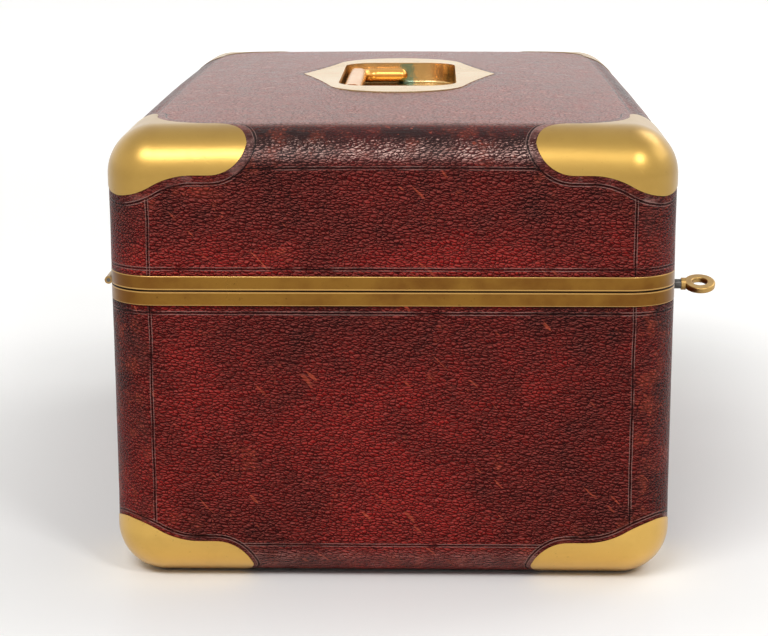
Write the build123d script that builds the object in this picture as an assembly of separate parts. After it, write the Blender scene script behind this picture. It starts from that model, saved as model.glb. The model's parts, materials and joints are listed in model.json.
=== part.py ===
from build123d import *
import math
import os

# A leather-covered jewellery box with a hinged lid, brass corners and rims,
# a sunk carrying handle, a bolt lock with a pipe key, a slotted lid stay
# and a lift-out ring tray.
# Millimetres. X runs along the box, the lock is on the -Y side, the hinge
# on the +Y side, Z is up, and the origin is under the middle of the box.

# Outer size, over the leather
box_length = 353.0
box_width = 230.0
case_height = 123.0
lid_height = 64.2
seam_gap = 0.2
lid_crown = 5.4
crown_run_out = 5.0
plan_radius = 20.5
edge_radius = 20.0

# Coverings and boards
leather_thickness = 1.2
brass_stand = 0.3
board_thickness = 10.0
base_thickness = 12.0
lid_board_thickness = 10.0
ceiling_rebate = 5.0
base_cover_margin = 30.0
cover_clearance = 0.1

# Brass corner pieces, measured from the box's sharp corner
corner_reach = 58.0
corner_lobe = 17.5
corner_tip_radius = 15.5
corner_drop = 26.5
corner_swell_start = 3.0
corner_swell_end = 36.0
corner_clearance = 0.05
corner_margin = 5.0

# Brass rims along the opening
rim_height = 6.0
rim_stand = 0.1
rim_flange = 8.0
rim_sheet = 1.0
rim_edge_round = 0.4

# Hinge along the back
hinge_length = 310.0
knuckle_count = 15
knuckle_radius = 1.6
knuckle_gap = 0.3
hinge_clearance = 0.2
hinge_pin_radius = 0.8
hinge_pin_clearance = 0.03
leaf_clearance = 0.1

# Countersunk screws
screw_head_radius = 2.0
screw_shank_radius = 1.0
screw_length = 8.0
screw_slot = 0.5
screw_clearance = 0.05
hinge_screw_count = 8
hinge_screw_end = 20.0

# Carrying handle, sunk in the lid
plate_reach = 78.0
plate_wing = 45.5
plate_end_radius = 31.0
plate_flow_angle = 78.0
plate_tip_round = 2.0
plate_thickness = 2.2
plate_below_crown = 0.6
well_length = 108.0
well_width = 54.0
well_radius = 15.0
well_depth = 10.0
well_wall = 1.5
well_floor_round = 1.2
plate_clearance = 0.1
bail_wire_radius = 3.3
bail_end_gap = 0.5
bail_pivot_drop = 5.8
bail_side_gap = 1.6
bail_bend_radius = 9.0
grip_width = 8.6
grip_height = 7.2
grip_rise = 1.1
grip_round = 3.2
grip_shoulder = 4.0
handle_pin_radius = 1.5
handle_pin_clearance = 0.05
handle_pin_bite = 4.0
stud_radius = 1.5
stud_x = 66.0
stud_y = 9.0
nut_size = 6.0
nut_thickness = 2.4
nut_pocket_radius = 4.6
nut_pocket_depth = 3.5

# Lock in the front board
key_drop = 33.0
lock_length = 64.0
lock_depth = 8.0
lock_tail = 14.0
lock_sheet = 0.8
lock_face_length = 76.0
lock_face_width = 8.0
lock_clearance = 0.1
staple_x = 15.0
staple_thickness = 2.0
staple_width = 4.4
staple_hang = 10.0
staple_eye_width = 2.8
staple_eye_height = 4.8
staple_foot = 3.2
staple_slot_clearance = 0.6
bolt_thickness = 2.2
bolt_bar_height = 5.0
bolt_bar_drop = 12.0
bolt_finger_height = 3.6
bolt_post_width = 4.0
bolt_lead = 1.0
bolt_rail_height = 1.0
bolt_rail_gap = 0.2
barrel_radius = 3.5
barrel_end_gap = 0.1
barrel_disc_radius = 8.2
barrel_disc_thickness = 1.2
barrel_journal_radius = 1.5
crank_radius = 6.5
crank_pin_radius = 1.2
crank_slot_clearance = 0.45
tail_width = 6.4
barrel_turn_angle = 90.0
drill_pin_radius = 1.05
drill_pin_lead = 2.0
running_clearance = 0.05
ferrule_radius = 4.6
ferrule_flange_radius = 7.5
ferrule_flange = 0.8

# Pipe key
key_radius = 2.35
key_bore_radius = 1.2
key_bore_depth = 14.0
key_tip_gap = 0.3
bow_start = 23.7
bow_radius = 7.6
bow_hole_radius = 3.5
bow_thickness = 3.0
bow_round = 0.8
bow_collar_radius = 3.0
bow_collar_length = 2.2
bow_tilt = 17.0
key_slot_width = 0.6
key_slot_depth = 3.0
key_slot_count = 4

# Slotted lid stay at the right-hand end
stay_reach = 55.0
stay_half_spread = 8.0
stay_width = 8.0
stay_thickness = 1.6
stay_end = 5.0
stay_shank_radius = 2.0
stay_slot_clearance = 0.1
stay_head_radius = 3.4
stay_head_thickness = 0.9
stay_play = 0.2
stay_lining_gap = 0.6
stay_bite = 6.0
lid_opening_angle = 100.0

# Linings, pads, ledges and tray
lining_thickness = 2.0
lining_top_gap = 1.2
pad_gap = 1.0
floor_pad_thickness = 7.0
lid_pad_thickness = 8.0
pad_round = 4.0
tray_height = 36.0
tray_below_seam = 6.0
tray_end_gap = 1.5
tray_side_gap = 1.8
tray_wall = 4.0
tray_floor = 3.0
tray_rest_gap = 0.2
tray_corner_radius = 3.0
ledge_width = 6.0
ledge_height = 6.0
ledge_length = 300.0
ring_section_width = 66.0
divider_thickness = 3.0
divider_height = 26.0
divider_gap = 0.1
roll_count = 5
roll_width = 11.4
roll_height = 13.0
roll_round = 5.0
roll_end_gap = 1.0
tab_width = 18.0
tab_thickness = 1.0
tab_height = 22.0

# Levels and faces worked out from the sizes above
rim_top = case_height
lid_bottom = case_height + seam_gap
lid_top = lid_bottom + lid_height
base_level = brass_stand
end_face = box_length / 2
side_face = box_width / 2
wall_inset = leather_thickness + board_thickness
cavity_x = end_face - wall_inset
cavity_y = side_face - wall_inset
cavity_floor = base_level + leather_thickness + base_thickness
case_board_top = rim_top - rim_sheet
lid_board_bottom = lid_bottom + rim_sheet
lid_ceiling = lid_top - leather_thickness - lid_board_thickness
lid_wall_top = lid_ceiling - ceiling_rebate
lined_x = cavity_x - lining_thickness
lined_y = cavity_y - lining_thickness
flange_inset = leather_thickness + rim_flange

# Hinge axis, just outside the back face and midway up the seam
hinge_y = side_face + rim_stand + hinge_clearance + knuckle_radius
hinge_z = rim_top + seam_gap / 2

# Handle levels
plate_top = lid_top + lid_crown - plate_below_crown
plate_bottom = plate_top - plate_thickness
well_floor = plate_top - well_depth
pivot_z = plate_top - bail_pivot_drop
arm_x = well_length / 2 - bail_end_gap - bail_wire_radius
grip_y = well_width / 2 - bail_side_gap - grip_width / 2

# Lock planes, from the front face inwards
board_front_y = -side_face + leather_thickness
board_back_y = board_front_y + board_thickness
lock_front_y = board_back_y - lock_depth
lock_cap_y = board_back_y - lock_sheet
lock_room_front = lock_front_y + lock_sheet
lock_middle_y = (lock_room_front + lock_cap_y) / 2
key_z = rim_top - key_drop
lock_bottom = key_z - lock_tail
bolt_travel = 2 * crank_radius * math.sin(math.radians(barrel_turn_angle / 2))
finger_middle_z = rim_top - staple_hang + staple_foot + staple_eye_height / 2
bolt_bar_bottom = rim_top - bolt_bar_drop - bolt_bar_height

# The stay's two pivots, the same distance from the hinge axis
stay_y = hinge_y - math.sqrt(stay_reach ** 2 - stay_half_spread ** 2)
stay_screw_z = hinge_z + stay_half_spread
stay_stud_z = hinge_z - stay_half_spread
stay_closed_angle = 2 * math.degrees(math.asin(stay_half_spread / stay_reach))
stay_open_angle = stay_closed_angle + lid_opening_angle
stay_open_gap = 2 * stay_reach * math.sin(math.radians(stay_open_angle / 2))

# Tray levels
tray_top = rim_top - tray_below_seam
tray_bottom = tray_top - tray_height
stay_inner_x = lined_x - stay_lining_gap - stay_thickness - stay_play - stay_head_thickness
tray_x = stay_inner_x - tray_end_gap
tray_y = lined_y - tray_side_gap
ledge_top = tray_bottom - tray_rest_gap


def span(x, y, z):
    """A block between the low and high ends given for each axis."""
    size = (x[1] - x[0], y[1] - y[0], z[1] - z[0])
    block = Box(*size, align=(Align.MIN, Align.MIN, Align.MIN))
    return Pos(x[0], y[0], z[0]) * block


def even(half):
    """The low and high ends of a length centred on the middle of the box."""
    return (-half, half)


def rod(radius, start, end):
    """A round bar between two points."""
    start = Vector(*start)
    end = Vector(*end)
    plane = Plane(origin=start, z_dir=end - start)
    return extrude(plane * Circle(radius), amount=(end - start).length)


def group(pieces):
    """Separate solids that share one node."""
    return Compound(children=[piece for piece in pieces])


def upright_prism(inset, low, high):
    """The box's plan, drawn in by inset, as an upright block."""
    plan = RectangleRounded(box_length - 2 * inset, box_width - 2 * inset, plan_radius - inset)
    return extrude(Pos(0, 0, low) * plan, amount=high - low)


def case_form(inset):
    """The case's outer form, drawn in by inset, up to the top of its rim."""
    block = upright_prism(inset, base_level + inset, rim_top)
    under = block.faces().sort_by(Axis.Z)[0].edges()
    return fillet(under, edge_radius - inset)


def crown_patch(inset):
    """The gently crowned top of the lid, drawn in by inset."""
    half_x = end_face + crown_run_out
    half_y = side_face + crown_run_out
    level = lid_top - inset
    peak = level + 4 * lid_crown
    rows = []
    for x in (-half_x, 0, half_x):
        middle = peak if x == 0 else level
        rows.append([(x, -half_y, level), (x, 0, middle), (x, half_y, level)])
    return Face.make_bezier_surface(rows)


def lid_form(inset):
    """The lid's outer form, drawn in by inset, from the lower face of its rim."""
    patch = crown_patch(inset)
    under_crown = Solid.extrude(patch, Vector(0, 0, -lid_height - lid_crown))
    block = upright_prism(inset, lid_bottom, lid_top + 2 * lid_crown) & under_crown
    block = block.solids()[0]
    top = block.faces().sort_by(Axis.Z)[-1]
    return fillet(top.edges(), edge_radius - inset)


def upright_outline(grow):
    """A brass corner's outline on an upright face: across, then away from the edge."""
    reach = corner_reach + grow
    lobe = corner_lobe + grow
    drop = corner_drop + grow
    tip = corner_tip_radius + grow
    far = -corner_margin
    middle = ((corner_swell_start + corner_swell_end) / 2, (lobe + drop) / 2)
    edges = [
        Line((far, far), (reach, far)),
        Line((reach, far), (reach, lobe - tip)),
        CenterArc((reach - tip, lobe - tip), tip, 0, 90),
        Line((reach - tip, lobe), (corner_swell_end, lobe)),
        TangentArc((corner_swell_end, lobe), middle, tangent=(-1, 0)),
        TangentArc((corner_swell_start, drop), middle, tangent=(1, 0)),
        Line((corner_swell_start, drop), (far, drop)),
        Line((far, drop), (far, far)),
    ]
    return make_face(edges)


def level_outline(grow):
    """A brass corner's outline on the top or the base, alike both ways."""
    reach = corner_reach + grow
    lobe = corner_lobe + grow
    tip = corner_tip_radius + grow
    far = -corner_margin
    centre = reach - tip
    waist = centre - lobe
    edges = [
        Line((far, far), (reach, far)),
        Line((reach, far), (reach, lobe - tip)),
        CenterArc((centre, lobe - tip), tip, 0, 90),
        CenterArc((centre, centre), waist, 180, 90),
        CenterArc((lobe - tip, centre), tip, 0, 90),
        Line((lobe - tip, reach), (far, reach)),
        Line((far, reach), (far, far)),
    ]
    return make_face(edges)


def corner_block(grow):
    """The space of one corner piece, for the lid's front left corner at the origin."""
    deep = corner_reach + corner_margin
    end_plane = Plane(origin=(0, 0, 0), x_dir=(0, 1, 0), z_dir=(-1, 0, 0))
    side_plane = Plane(origin=(0, 0, 0), x_dir=(1, 0, 0), z_dir=(0, 1, 0))
    seen_from_end = extrude(end_plane * upright_outline(grow), amount=deep, both=True)
    seen_from_side = extrude(side_plane * upright_outline(grow), amount=deep, both=True)
    seen_from_top = extrude(level_outline(grow), amount=deep, both=True)
    return seen_from_end & seen_from_side & seen_from_top


def corner_spaces(grow, level, upward):
    """The four corner spaces at the lid's top or, upward, at the case's base."""
    block = corner_block(grow)
    if upward:
        block = mirror(block, about=Plane.XY)
    block = Pos(-end_face, -side_face, level) * block
    back = mirror(block, about=Plane.XZ)
    return {
        "front_left": block,
        "front_right": mirror(block, about=Plane.YZ),
        "back_left": back,
        "back_right": mirror(back, about=Plane.YZ),
    }


hanging = (Align.CENTER, Align.CENTER, Align.MAX)


def screw(x, y, z, down):
    """A slotted countersunk screw with its head's face at the given place."""
    cone = Cone(screw_shank_radius, screw_head_radius, rim_sheet, align=hanging)
    shank = Cylinder(screw_shank_radius, screw_length, align=hanging)
    slot = Box(3 * screw_head_radius, screw_slot, screw_slot, align=hanging)
    whole = cone + shank - slot
    turn = 0 if down else 180
    return Pos(x, y, z) * Rot(turn, 0, 0) * whole


def screw_hole(x, y, z, down):
    """The countersunk hole that a screw sits in."""
    head = screw_head_radius + screw_clearance
    shank = screw_shank_radius + screw_clearance
    cone = Cone(shank, head, rim_sheet, align=hanging)
    bore = Cylinder(shank, screw_length + screw_clearance, align=hanging)
    turn = 0 if down else 180
    return Pos(x, y, z) * Rot(turn, 0, 0) * (cone + bore)


def hinge_screw_places():
    """Where the hinge's screws stand along its leaves."""
    first = -hinge_length / 2 + hinge_screw_end
    step = (hinge_length - 2 * hinge_screw_end) / (hinge_screw_count - 1)
    y = side_face - leather_thickness - rim_flange / 2
    return [(first + step * i, y) for i in range(hinge_screw_count)]


def face_screw_places():
    """Where the screws stand at the two ends of the lock's face and the link plate."""
    x = (lock_face_length / 2 + lock_length / 2) / 2
    return [(-x, lock_middle_y), (x, lock_middle_y)]


def lock_face_space(clearance):
    """The space of the lock's face or the link plate, at zero height."""
    half_x = lock_face_length / 2 + clearance
    half_y = lock_face_width / 2 + clearance
    y = (lock_middle_y - half_y, lock_middle_y + half_y)
    return span(even(half_x), y, (0, rim_sheet))


def case_boards():
    """The case's five boards, rounded outside to carry the leather."""
    body = case_form(leather_thickness)
    body -= span(even(box_length), even(box_width), (case_board_top, rim_top + 1))
    base = body & span(even(box_length), even(box_width), (0, cavity_floor))
    walls = body & span(even(box_length), even(box_width), (cavity_floor, rim_top))
    height = (cavity_floor, rim_top)
    front = walls & span(even(box_length), (-box_width, -cavity_y), height)
    back = walls & span(even(box_length), (cavity_y, box_width), height)
    left = walls & span((-box_length, -cavity_x), even(cavity_y), height)
    right = walls & span((cavity_x, box_length), even(cavity_y), height)
    front -= lock_pocket()
    for x, y in face_screw_places():
        front -= screw_hole(x, y, rim_top, True)
    for x, y in hinge_screw_places():
        back -= screw_hole(x, y, rim_top, True)
    right -= stay_hole(stay_stud_z)
    return {"base_board": base, "front_board": front, "back_board": back,
            "left_board": left, "right_board": right}


def lid_boards(form):
    """The lid's crowned top board and its four wall boards."""
    whole = span(even(box_length), even(box_width), (lid_wall_top, lid_top + 2 * lid_crown))
    top = form & whole
    top -= span(even(cavity_x), even(cavity_y), (lid_wall_top - 1, lid_ceiling))
    top -= handle_pocket()
    height = (lid_board_bottom, lid_wall_top)
    walls = form & span(even(box_length), even(box_width), height)
    front = walls & span(even(box_length), (-box_width, -cavity_y), height)
    back = walls & span(even(box_length), (cavity_y, box_width), height)
    left = walls & span((-box_length, -cavity_x), even(cavity_y), height)
    right = walls & span((cavity_x, box_length), even(cavity_y), height)
    for x, y in face_screw_places():
        front -= screw_hole(x, y, lid_bottom, False)
    for x, y in hinge_screw_places():
        back -= screw_hole(x, y, lid_bottom, False)
    right -= stay_hole(stay_screw_z)
    return {"lid_top_board": top, "lid_front_board": front, "lid_back_board": back,
            "lid_left_board": left, "lid_right_board": right}


def case_leather(outer, inner):
    """The leather over the case, with openings for the brass and the base cover."""
    skin = outer - inner
    skin -= span(even(box_length), even(box_width), (rim_top - rim_height, rim_top + 1))
    for space in corner_spaces(corner_clearance, base_level, True).values():
        skin -= space
    skin -= base_cover_space(cover_clearance)
    skin -= ferrule_space(running_clearance)
    return skin


def base_cover_space(clearance):
    """The flat cover under the base, which the box stands on."""
    x = end_face - base_cover_margin + clearance
    y = side_face - base_cover_margin + clearance
    plan = RectangleRounded(2 * x, 2 * y, plan_radius)
    return extrude(plan, amount=base_level + leather_thickness)


def lid_leather(outer, inner):
    """The leather over the lid, with openings for the brass and the handle plate."""
    skin = outer - inner
    skin -= span(even(box_length), even(box_width), (lid_bottom - 1, lid_bottom + rim_height))
    for space in corner_spaces(corner_clearance, lid_top, False).values():
        skin -= space
    opening = Pos(0, 0, lid_top - edge_radius) * plate_outline(plate_clearance)
    skin -= extrude(opening, amount=2 * edge_radius)
    return skin


def rim(low, flange_low):
    """A rim with its upright band and its flat flange along the opening."""
    outer = upright_prism(-rim_stand, low, low + rim_height)
    core = upright_prism(leather_thickness, low - 1, low + rim_height + 1)
    band = outer - core
    flange = upright_prism(leather_thickness, flange_low, flange_low + rim_sheet)
    plan = Rectangle(box_length - 2 * flange_inset, box_width - 2 * flange_inset)
    flange -= extrude(Pos(0, 0, flange_low - 1) * plan, amount=rim_sheet + 2)
    whole = band + flange
    edges = whole.edges().filter_by(outer_edge)
    whole = fillet(edges, rim_edge_round)
    whole -= Pos(0, 0, flange_low) * lock_face_space(lock_clearance)
    half = hinge_length / 2 + leaf_clearance
    y = (side_face - flange_inset - leaf_clearance, side_face + 1)
    whole -= span(even(half), y, (flange_low - 0.001, flange_low + rim_sheet + 0.001))
    return whole


def outer_edge(edge):
    """Whether an edge runs level along the outside of a rim's band."""
    level = edge.bounding_box().size.Z < rim_sheet / 2
    middle = edge.position_at(0.5)
    reach_x = abs(middle.X) - (end_face - plan_radius)
    reach_y = abs(middle.Y) - (side_face - plan_radius)
    if reach_x > 0 and reach_y > 0:
        return level and math.hypot(reach_x, reach_y) > plan_radius
    return level and max(reach_x, reach_y) > plan_radius


def hinge_leaf(upper):
    """A long hinge leaf with every second knuckle, for the lid or for the case."""
    low = lid_bottom if upper else rim_top - rim_sheet
    sheet = (low, low + rim_sheet)
    y = (side_face - flange_inset, side_face + rim_stand)
    leaf = span(even(hinge_length / 2), y, sheet)
    pitch = hinge_length / knuckle_count
    for i in range(knuckle_count):
        if (i % 2 == 1) == upper:
            start = -hinge_length / 2 + pitch * i + knuckle_gap / 2
            end = start + pitch - knuckle_gap
            leaf += span((start, end), (y[0], hinge_y), sheet)
            leaf += rod(knuckle_radius, (start, hinge_y, hinge_z), (end, hinge_y, hinge_z))
    half = hinge_length / 2 + 1
    leaf -= rod(hinge_pin_radius + hinge_pin_clearance, (-half, hinge_y, hinge_z), (half, hinge_y, hinge_z))
    for x, y in hinge_screw_places():
        leaf -= screw_hole(x, y, lid_bottom if upper else rim_top, not upper)
    return leaf


def hinge_pin():
    """The pin that runs the whole length of the hinge."""
    half = hinge_length / 2
    return rod(hinge_pin_radius, (-half, hinge_y, hinge_z), (half, hinge_y, hinge_z))


def plate_outline(grow):
    """The handle plate's outline: round ends and an ogee point on each long side."""
    centre = plate_reach - plate_end_radius
    radius = plate_end_radius + grow
    wing = plate_wing + grow
    flow = math.radians(plate_flow_angle)
    leave_x = centre + radius * math.cos(flow)
    leave_y = radius * math.sin(flow)
    lean = math.sin(flow)
    rise = math.cos(flow)
    edges = [
        CenterArc((centre, 0), radius, -plate_flow_angle, 2 * plate_flow_angle),
        TangentArc((leave_x, leave_y), (0, wing), tangent=(-lean, rise)),
        TangentArc((-leave_x, leave_y), (0, wing), tangent=(lean, rise)),
        CenterArc((-centre, 0), radius, 180 - plate_flow_angle, 2 * plate_flow_angle),
        TangentArc((-leave_x, -leave_y), (0, -wing), tangent=(lean, -rise)),
        TangentArc((leave_x, -leave_y), (0, -wing), tangent=(-lean, -rise)),
    ]
    outline = make_face(edges)
    tips = outline.vertices().sort_by(Axis.Y)
    return fillet([tips[0], tips[-1]], plate_tip_round + grow)


def well_block(grow, low, high):
    """The handle well's inside, grown by its wall."""
    plan = RectangleRounded(well_length + 2 * grow, well_width + 2 * grow, well_radius + grow)
    return extrude(Pos(0, 0, low) * plan, amount=high - low)


def handle_plate():
    """The flush plate, the cup under it and four studs."""
    plate = extrude(Pos(0, 0, plate_bottom) * plate_outline(0), amount=plate_thickness)
    cup = well_block(well_wall, well_floor - well_wall, plate_bottom)
    hollow = well_block(0, well_floor, plate_top + 1)
    hollow = fillet(hollow.faces().sort_by(Axis.Z)[0].edges(), well_floor_round)
    whole = plate + cup - hollow
    for x in (-stud_x, stud_x):
        for y in (-stud_y, stud_y):
            whole += rod(stud_radius, (x, y, lid_ceiling), (x, y, plate_bottom))
    for pin in handle_pin_places(0):
        whole -= pin
    return whole


def handle_pin_places(grow):
    """The two short pins that the bail swings on."""
    inner = arm_x + bail_wire_radius - handle_pin_bite
    outer = well_length / 2 + well_wall
    pins = []
    for side in (-1, 1):
        pins.append(rod(handle_pin_radius + grow, (side * inner, 0, pivot_z), (side * outer, 0, pivot_z)))
    return pins


def handle_pocket():
    """What is cut from the lid's top board for the handle."""
    opening = Pos(0, 0, plate_bottom) * plate_outline(plate_clearance)
    pocket = extrude(opening, amount=2 * edge_radius)
    wall = well_wall + plate_clearance
    pocket += well_block(wall, well_floor - wall, plate_bottom)
    below = lid_ceiling - 1
    nut_top = lid_ceiling + nut_pocket_depth
    for x in (-stud_x, stud_x):
        for y in (-stud_y, stud_y):
            pocket += rod(stud_radius + screw_clearance, (x, y, below), (x, y, plate_bottom))
            pocket += rod(nut_pocket_radius, (x, y, below), (x, y, nut_top))
    return pocket


def handle_nuts():
    """Four square nuts on the plate's studs, inside the lid."""
    high = lid_ceiling + nut_pocket_depth
    nuts = []
    for x in (-stud_x, stud_x):
        for y in (-stud_y, stud_y):
            half = nut_size / 2
            nut = span((x - half, x + half), (y - half, y + half), (high - nut_thickness, high))
            nuts.append(nut - rod(stud_radius + screw_clearance, (x, y, high - nut_size), (x, y, high + 1)))
    return group(nuts)


def handle_bail():
    """The folding bail: round arms and a thicker grip, lying to the back."""
    bend = bail_bend_radius
    path = FilletPolyline((-arm_x, 0, pivot_z), (-arm_x, grip_y, pivot_z),
                          (arm_x, grip_y, pivot_z), (arm_x, 0, pivot_z), radius=bend)
    section = Plane(origin=(-arm_x, 0, pivot_z), z_dir=(0, 1, 0)) * Circle(bail_wire_radius)
    bail = sweep(section, path=path)
    grip_half = arm_x - bend - grip_shoulder
    profile = Plane(origin=(-grip_half, grip_y, pivot_z + grip_rise), x_dir=(0, 1, 0), z_dir=(1, 0, 0))
    grip = extrude(profile * RectangleRounded(grip_width, grip_height, grip_round), amount=2 * grip_half)
    bail += grip
    for side in (-1, 1):
        bail += Pos(side * arm_x, 0, pivot_z) * Sphere(bail_wire_radius)
    for pin in handle_pin_places(handle_pin_clearance):
        bail -= pin
    return bail


def lock_pocket():
    """What is cut from the front board for the lock and its ferrule."""
    half = lock_length / 2 + lock_clearance
    y = (lock_front_y - lock_clearance, board_back_y + 1)
    pocket = span(even(half), y, (lock_bottom - lock_clearance, rim_top))
    return pocket + ferrule_space(running_clearance)


def ferrule_space(grow):
    """The ferrule's barrel, from the front face to the lock."""
    return rod(ferrule_radius + grow, (0, -side_face - 1, key_z), (0, lock_front_y, key_z))


def key_ferrule():
    """The round brass bush that guides the key through the leather and the board."""
    flange_y = -side_face - ferrule_flange
    bush = rod(ferrule_radius, (0, -side_face, key_z), (0, lock_front_y, key_z))
    bush += rod(ferrule_flange_radius, (0, flange_y, key_z), (0, -side_face, key_z))
    bore = key_radius + running_clearance
    return bush - rod(bore, (0, flange_y - 1, key_z), (0, lock_front_y + 1, key_z))


def lock_case():
    """The lock's shell, its face with two staple slots, and the rails of the bolt."""
    half = lock_length / 2
    shell = span(even(half), (lock_front_y, lock_cap_y), (lock_bottom, rim_top - rim_sheet))
    room_z = (lock_bottom + lock_sheet, rim_top)
    shell -= span(even(half - lock_sheet), (lock_room_front, lock_cap_y + 1), room_z)
    shell += Pos(0, 0, rim_top - rim_sheet) * lock_face_space(0)
    for x in (-staple_x, staple_x):
        half_x = staple_thickness / 2 + staple_slot_clearance
        half_y = staple_width / 2 + staple_slot_clearance
        slot_y = (lock_middle_y - half_y, lock_middle_y + half_y)
        shell -= span((x - half_x, x + half_x), slot_y, (rim_top - 2 * rim_sheet, rim_top + 1))
    rail_top = bolt_bar_bottom - bolt_rail_gap
    inner = bolt_travel / 2 + tail_width / 2 + 1
    for side in (-1, 1):
        x = sorted((side * inner, side * (half - lock_sheet)))
        shell += span(x, (lock_room_front, lock_cap_y), (rail_top - bolt_rail_height, rail_top))
    shell -= rod(key_radius + running_clearance, (0, lock_front_y - 1, key_z), (0, lock_room_front, key_z))
    for x, y in face_screw_places():
        shell -= screw_hole(x, y, rim_top, True)
    return shell


def lock_cap():
    """The cover plate at the back of the lock, with the barrel's rear bearing."""
    half = lock_length / 2
    cap = span(even(half), (lock_cap_y, board_back_y), (lock_bottom, rim_top - rim_sheet))
    hole = barrel_journal_radius + running_clearance
    return cap - rod(hole, (0, lock_cap_y - 1, key_z), (0, board_back_y + 1, key_z))


def lock_bolt():
    """The sliding bolt: two fingers on a bar, and a forked tail over the crank pin."""
    y = (lock_middle_y - bolt_thickness / 2, lock_middle_y + bolt_thickness / 2)
    shift = -bolt_travel / 2
    finger_back = -staple_thickness / 2 - bolt_travel - bolt_lead / 2
    left = -staple_x + finger_back - bolt_post_width
    right = staple_x + finger_back
    bolt = span((left, right), y, (bolt_bar_bottom, bolt_bar_bottom + bolt_bar_height))
    for x in (-staple_x, staple_x):
        post = (x + finger_back - bolt_post_width, x + finger_back)
        bolt += span(post, y, (bolt_bar_bottom, finger_middle_z + bolt_finger_height / 2))
        tip = (x + finger_back, x - staple_thickness / 2 - bolt_lead)
        finger = (finger_middle_z - bolt_finger_height / 2, finger_middle_z + bolt_finger_height / 2)
        bolt += span(tip, y, finger)
    half = tail_width / 2
    tail_low = key_z + barrel_radius + crank_slot_clearance
    bolt += span((shift - half, shift + half), y, (tail_low, bolt_bar_bottom + 1))
    slot = crank_pin_radius + crank_slot_clearance
    slot_top = key_z + crank_radius + slot
    bolt -= span((shift - slot, shift + slot), (y[0] - 1, y[1] + 1), (tail_low - 1, slot_top))
    return bolt


def lock_barrel():
    """The turning barrel: a sleeve round the key, a drill pin, and a disc with a crank pin."""
    front = lock_room_front + barrel_end_gap
    rear = lock_cap_y - barrel_end_gap
    disc_front = rear - barrel_disc_thickness
    barrel = rod(barrel_radius, (0, front, key_z), (0, disc_front, key_z))
    barrel -= rod(key_radius + running_clearance, (0, front - 1, key_z), (0, disc_front, key_z))
    barrel += rod(barrel_disc_radius, (0, disc_front, key_z), (0, rear, key_z))
    barrel += rod(barrel_journal_radius, (0, rear, key_z), (0, board_back_y, key_z))
    barrel += rod(drill_pin_radius, (0, front - drill_pin_lead, key_z), (0, disc_front, key_z))
    turn = math.radians(barrel_turn_angle / 2)
    pin_x = -crank_radius * math.sin(turn)
    pin_z = key_z + crank_radius * math.cos(turn)
    pin_front = lock_middle_y - bolt_thickness / 2
    return barrel + rod(crank_pin_radius, (pin_x, pin_front, pin_z), (pin_x, disc_front, pin_z))


def key_shank():
    """The key's steel pipe, slotted at its tip."""
    tip = lock_cap_y - barrel_end_gap - barrel_disc_thickness - key_tip_gap
    end = -side_face - bow_start + bow_round
    shank = rod(key_radius, (0, end, key_z), (0, tip, key_z))
    shank -= rod(key_bore_radius, (0, tip - key_bore_depth, key_z), (0, tip + 1, key_z))
    half = key_slot_width / 2
    for i in range(key_slot_count // 2):
        cut = span(even(half), (tip - key_slot_depth, tip + 1), even(key_radius + 1))
        shank -= Pos(0, 0, key_z) * Rot(0, 180 * i / (key_slot_count // 2), 0) * cut
    return shank


def key_bow():
    """The key's brass ring and the collar that holds the pipe."""
    centre_y = -side_face - bow_start - bow_radius
    ring = Cylinder(bow_radius, bow_thickness) - Cylinder(bow_hole_radius, bow_thickness)
    ring = fillet(ring.edges().filter_by(GeomType.CIRCLE), bow_round)
    ring = Pos(0, centre_y, key_z) * Rot(0, -bow_tilt, 0) * ring
    collar_end = -side_face - bow_start - bow_round
    collar = rod(bow_collar_radius, (0, collar_end, key_z), (0, collar_end + bow_collar_length, key_z))
    hole = rod(bow_hole_radius, (0, 0, -bow_thickness), (0, 0, bow_thickness))
    collar -= Pos(0, centre_y, key_z) * Rot(0, -bow_tilt, 0) * hole
    bow = ring + collar
    socket = -side_face - bow_start + bow_round - running_clearance
    mouth = collar_end + bow_collar_length + 1
    return bow - rod(key_radius + running_clearance, (0, socket, key_z), (0, mouth, key_z))


def link_plate():
    """The lid's plate with two staples that drop into the lock."""
    plate = Pos(0, 0, lid_bottom) * lock_face_space(0)
    y = (lock_middle_y - staple_width / 2, lock_middle_y + staple_width / 2)
    eye_y = (lock_middle_y - staple_eye_width / 2, lock_middle_y + staple_eye_width / 2)
    eye_z = (finger_middle_z - staple_eye_height / 2, finger_middle_z + staple_eye_height / 2)
    for x in (-staple_x, staple_x):
        staple_ends = (x - staple_thickness / 2, x + staple_thickness / 2)
        cut_ends = (x - staple_thickness, x + staple_thickness)
        staple = span(staple_ends, y, (lid_bottom - staple_hang, lid_bottom))
        plate += staple - span(cut_ends, eye_y, eye_z)
    for x, y in face_screw_places():
        plate -= screw_hole(x, y, lid_bottom, False)
    return plate


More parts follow.
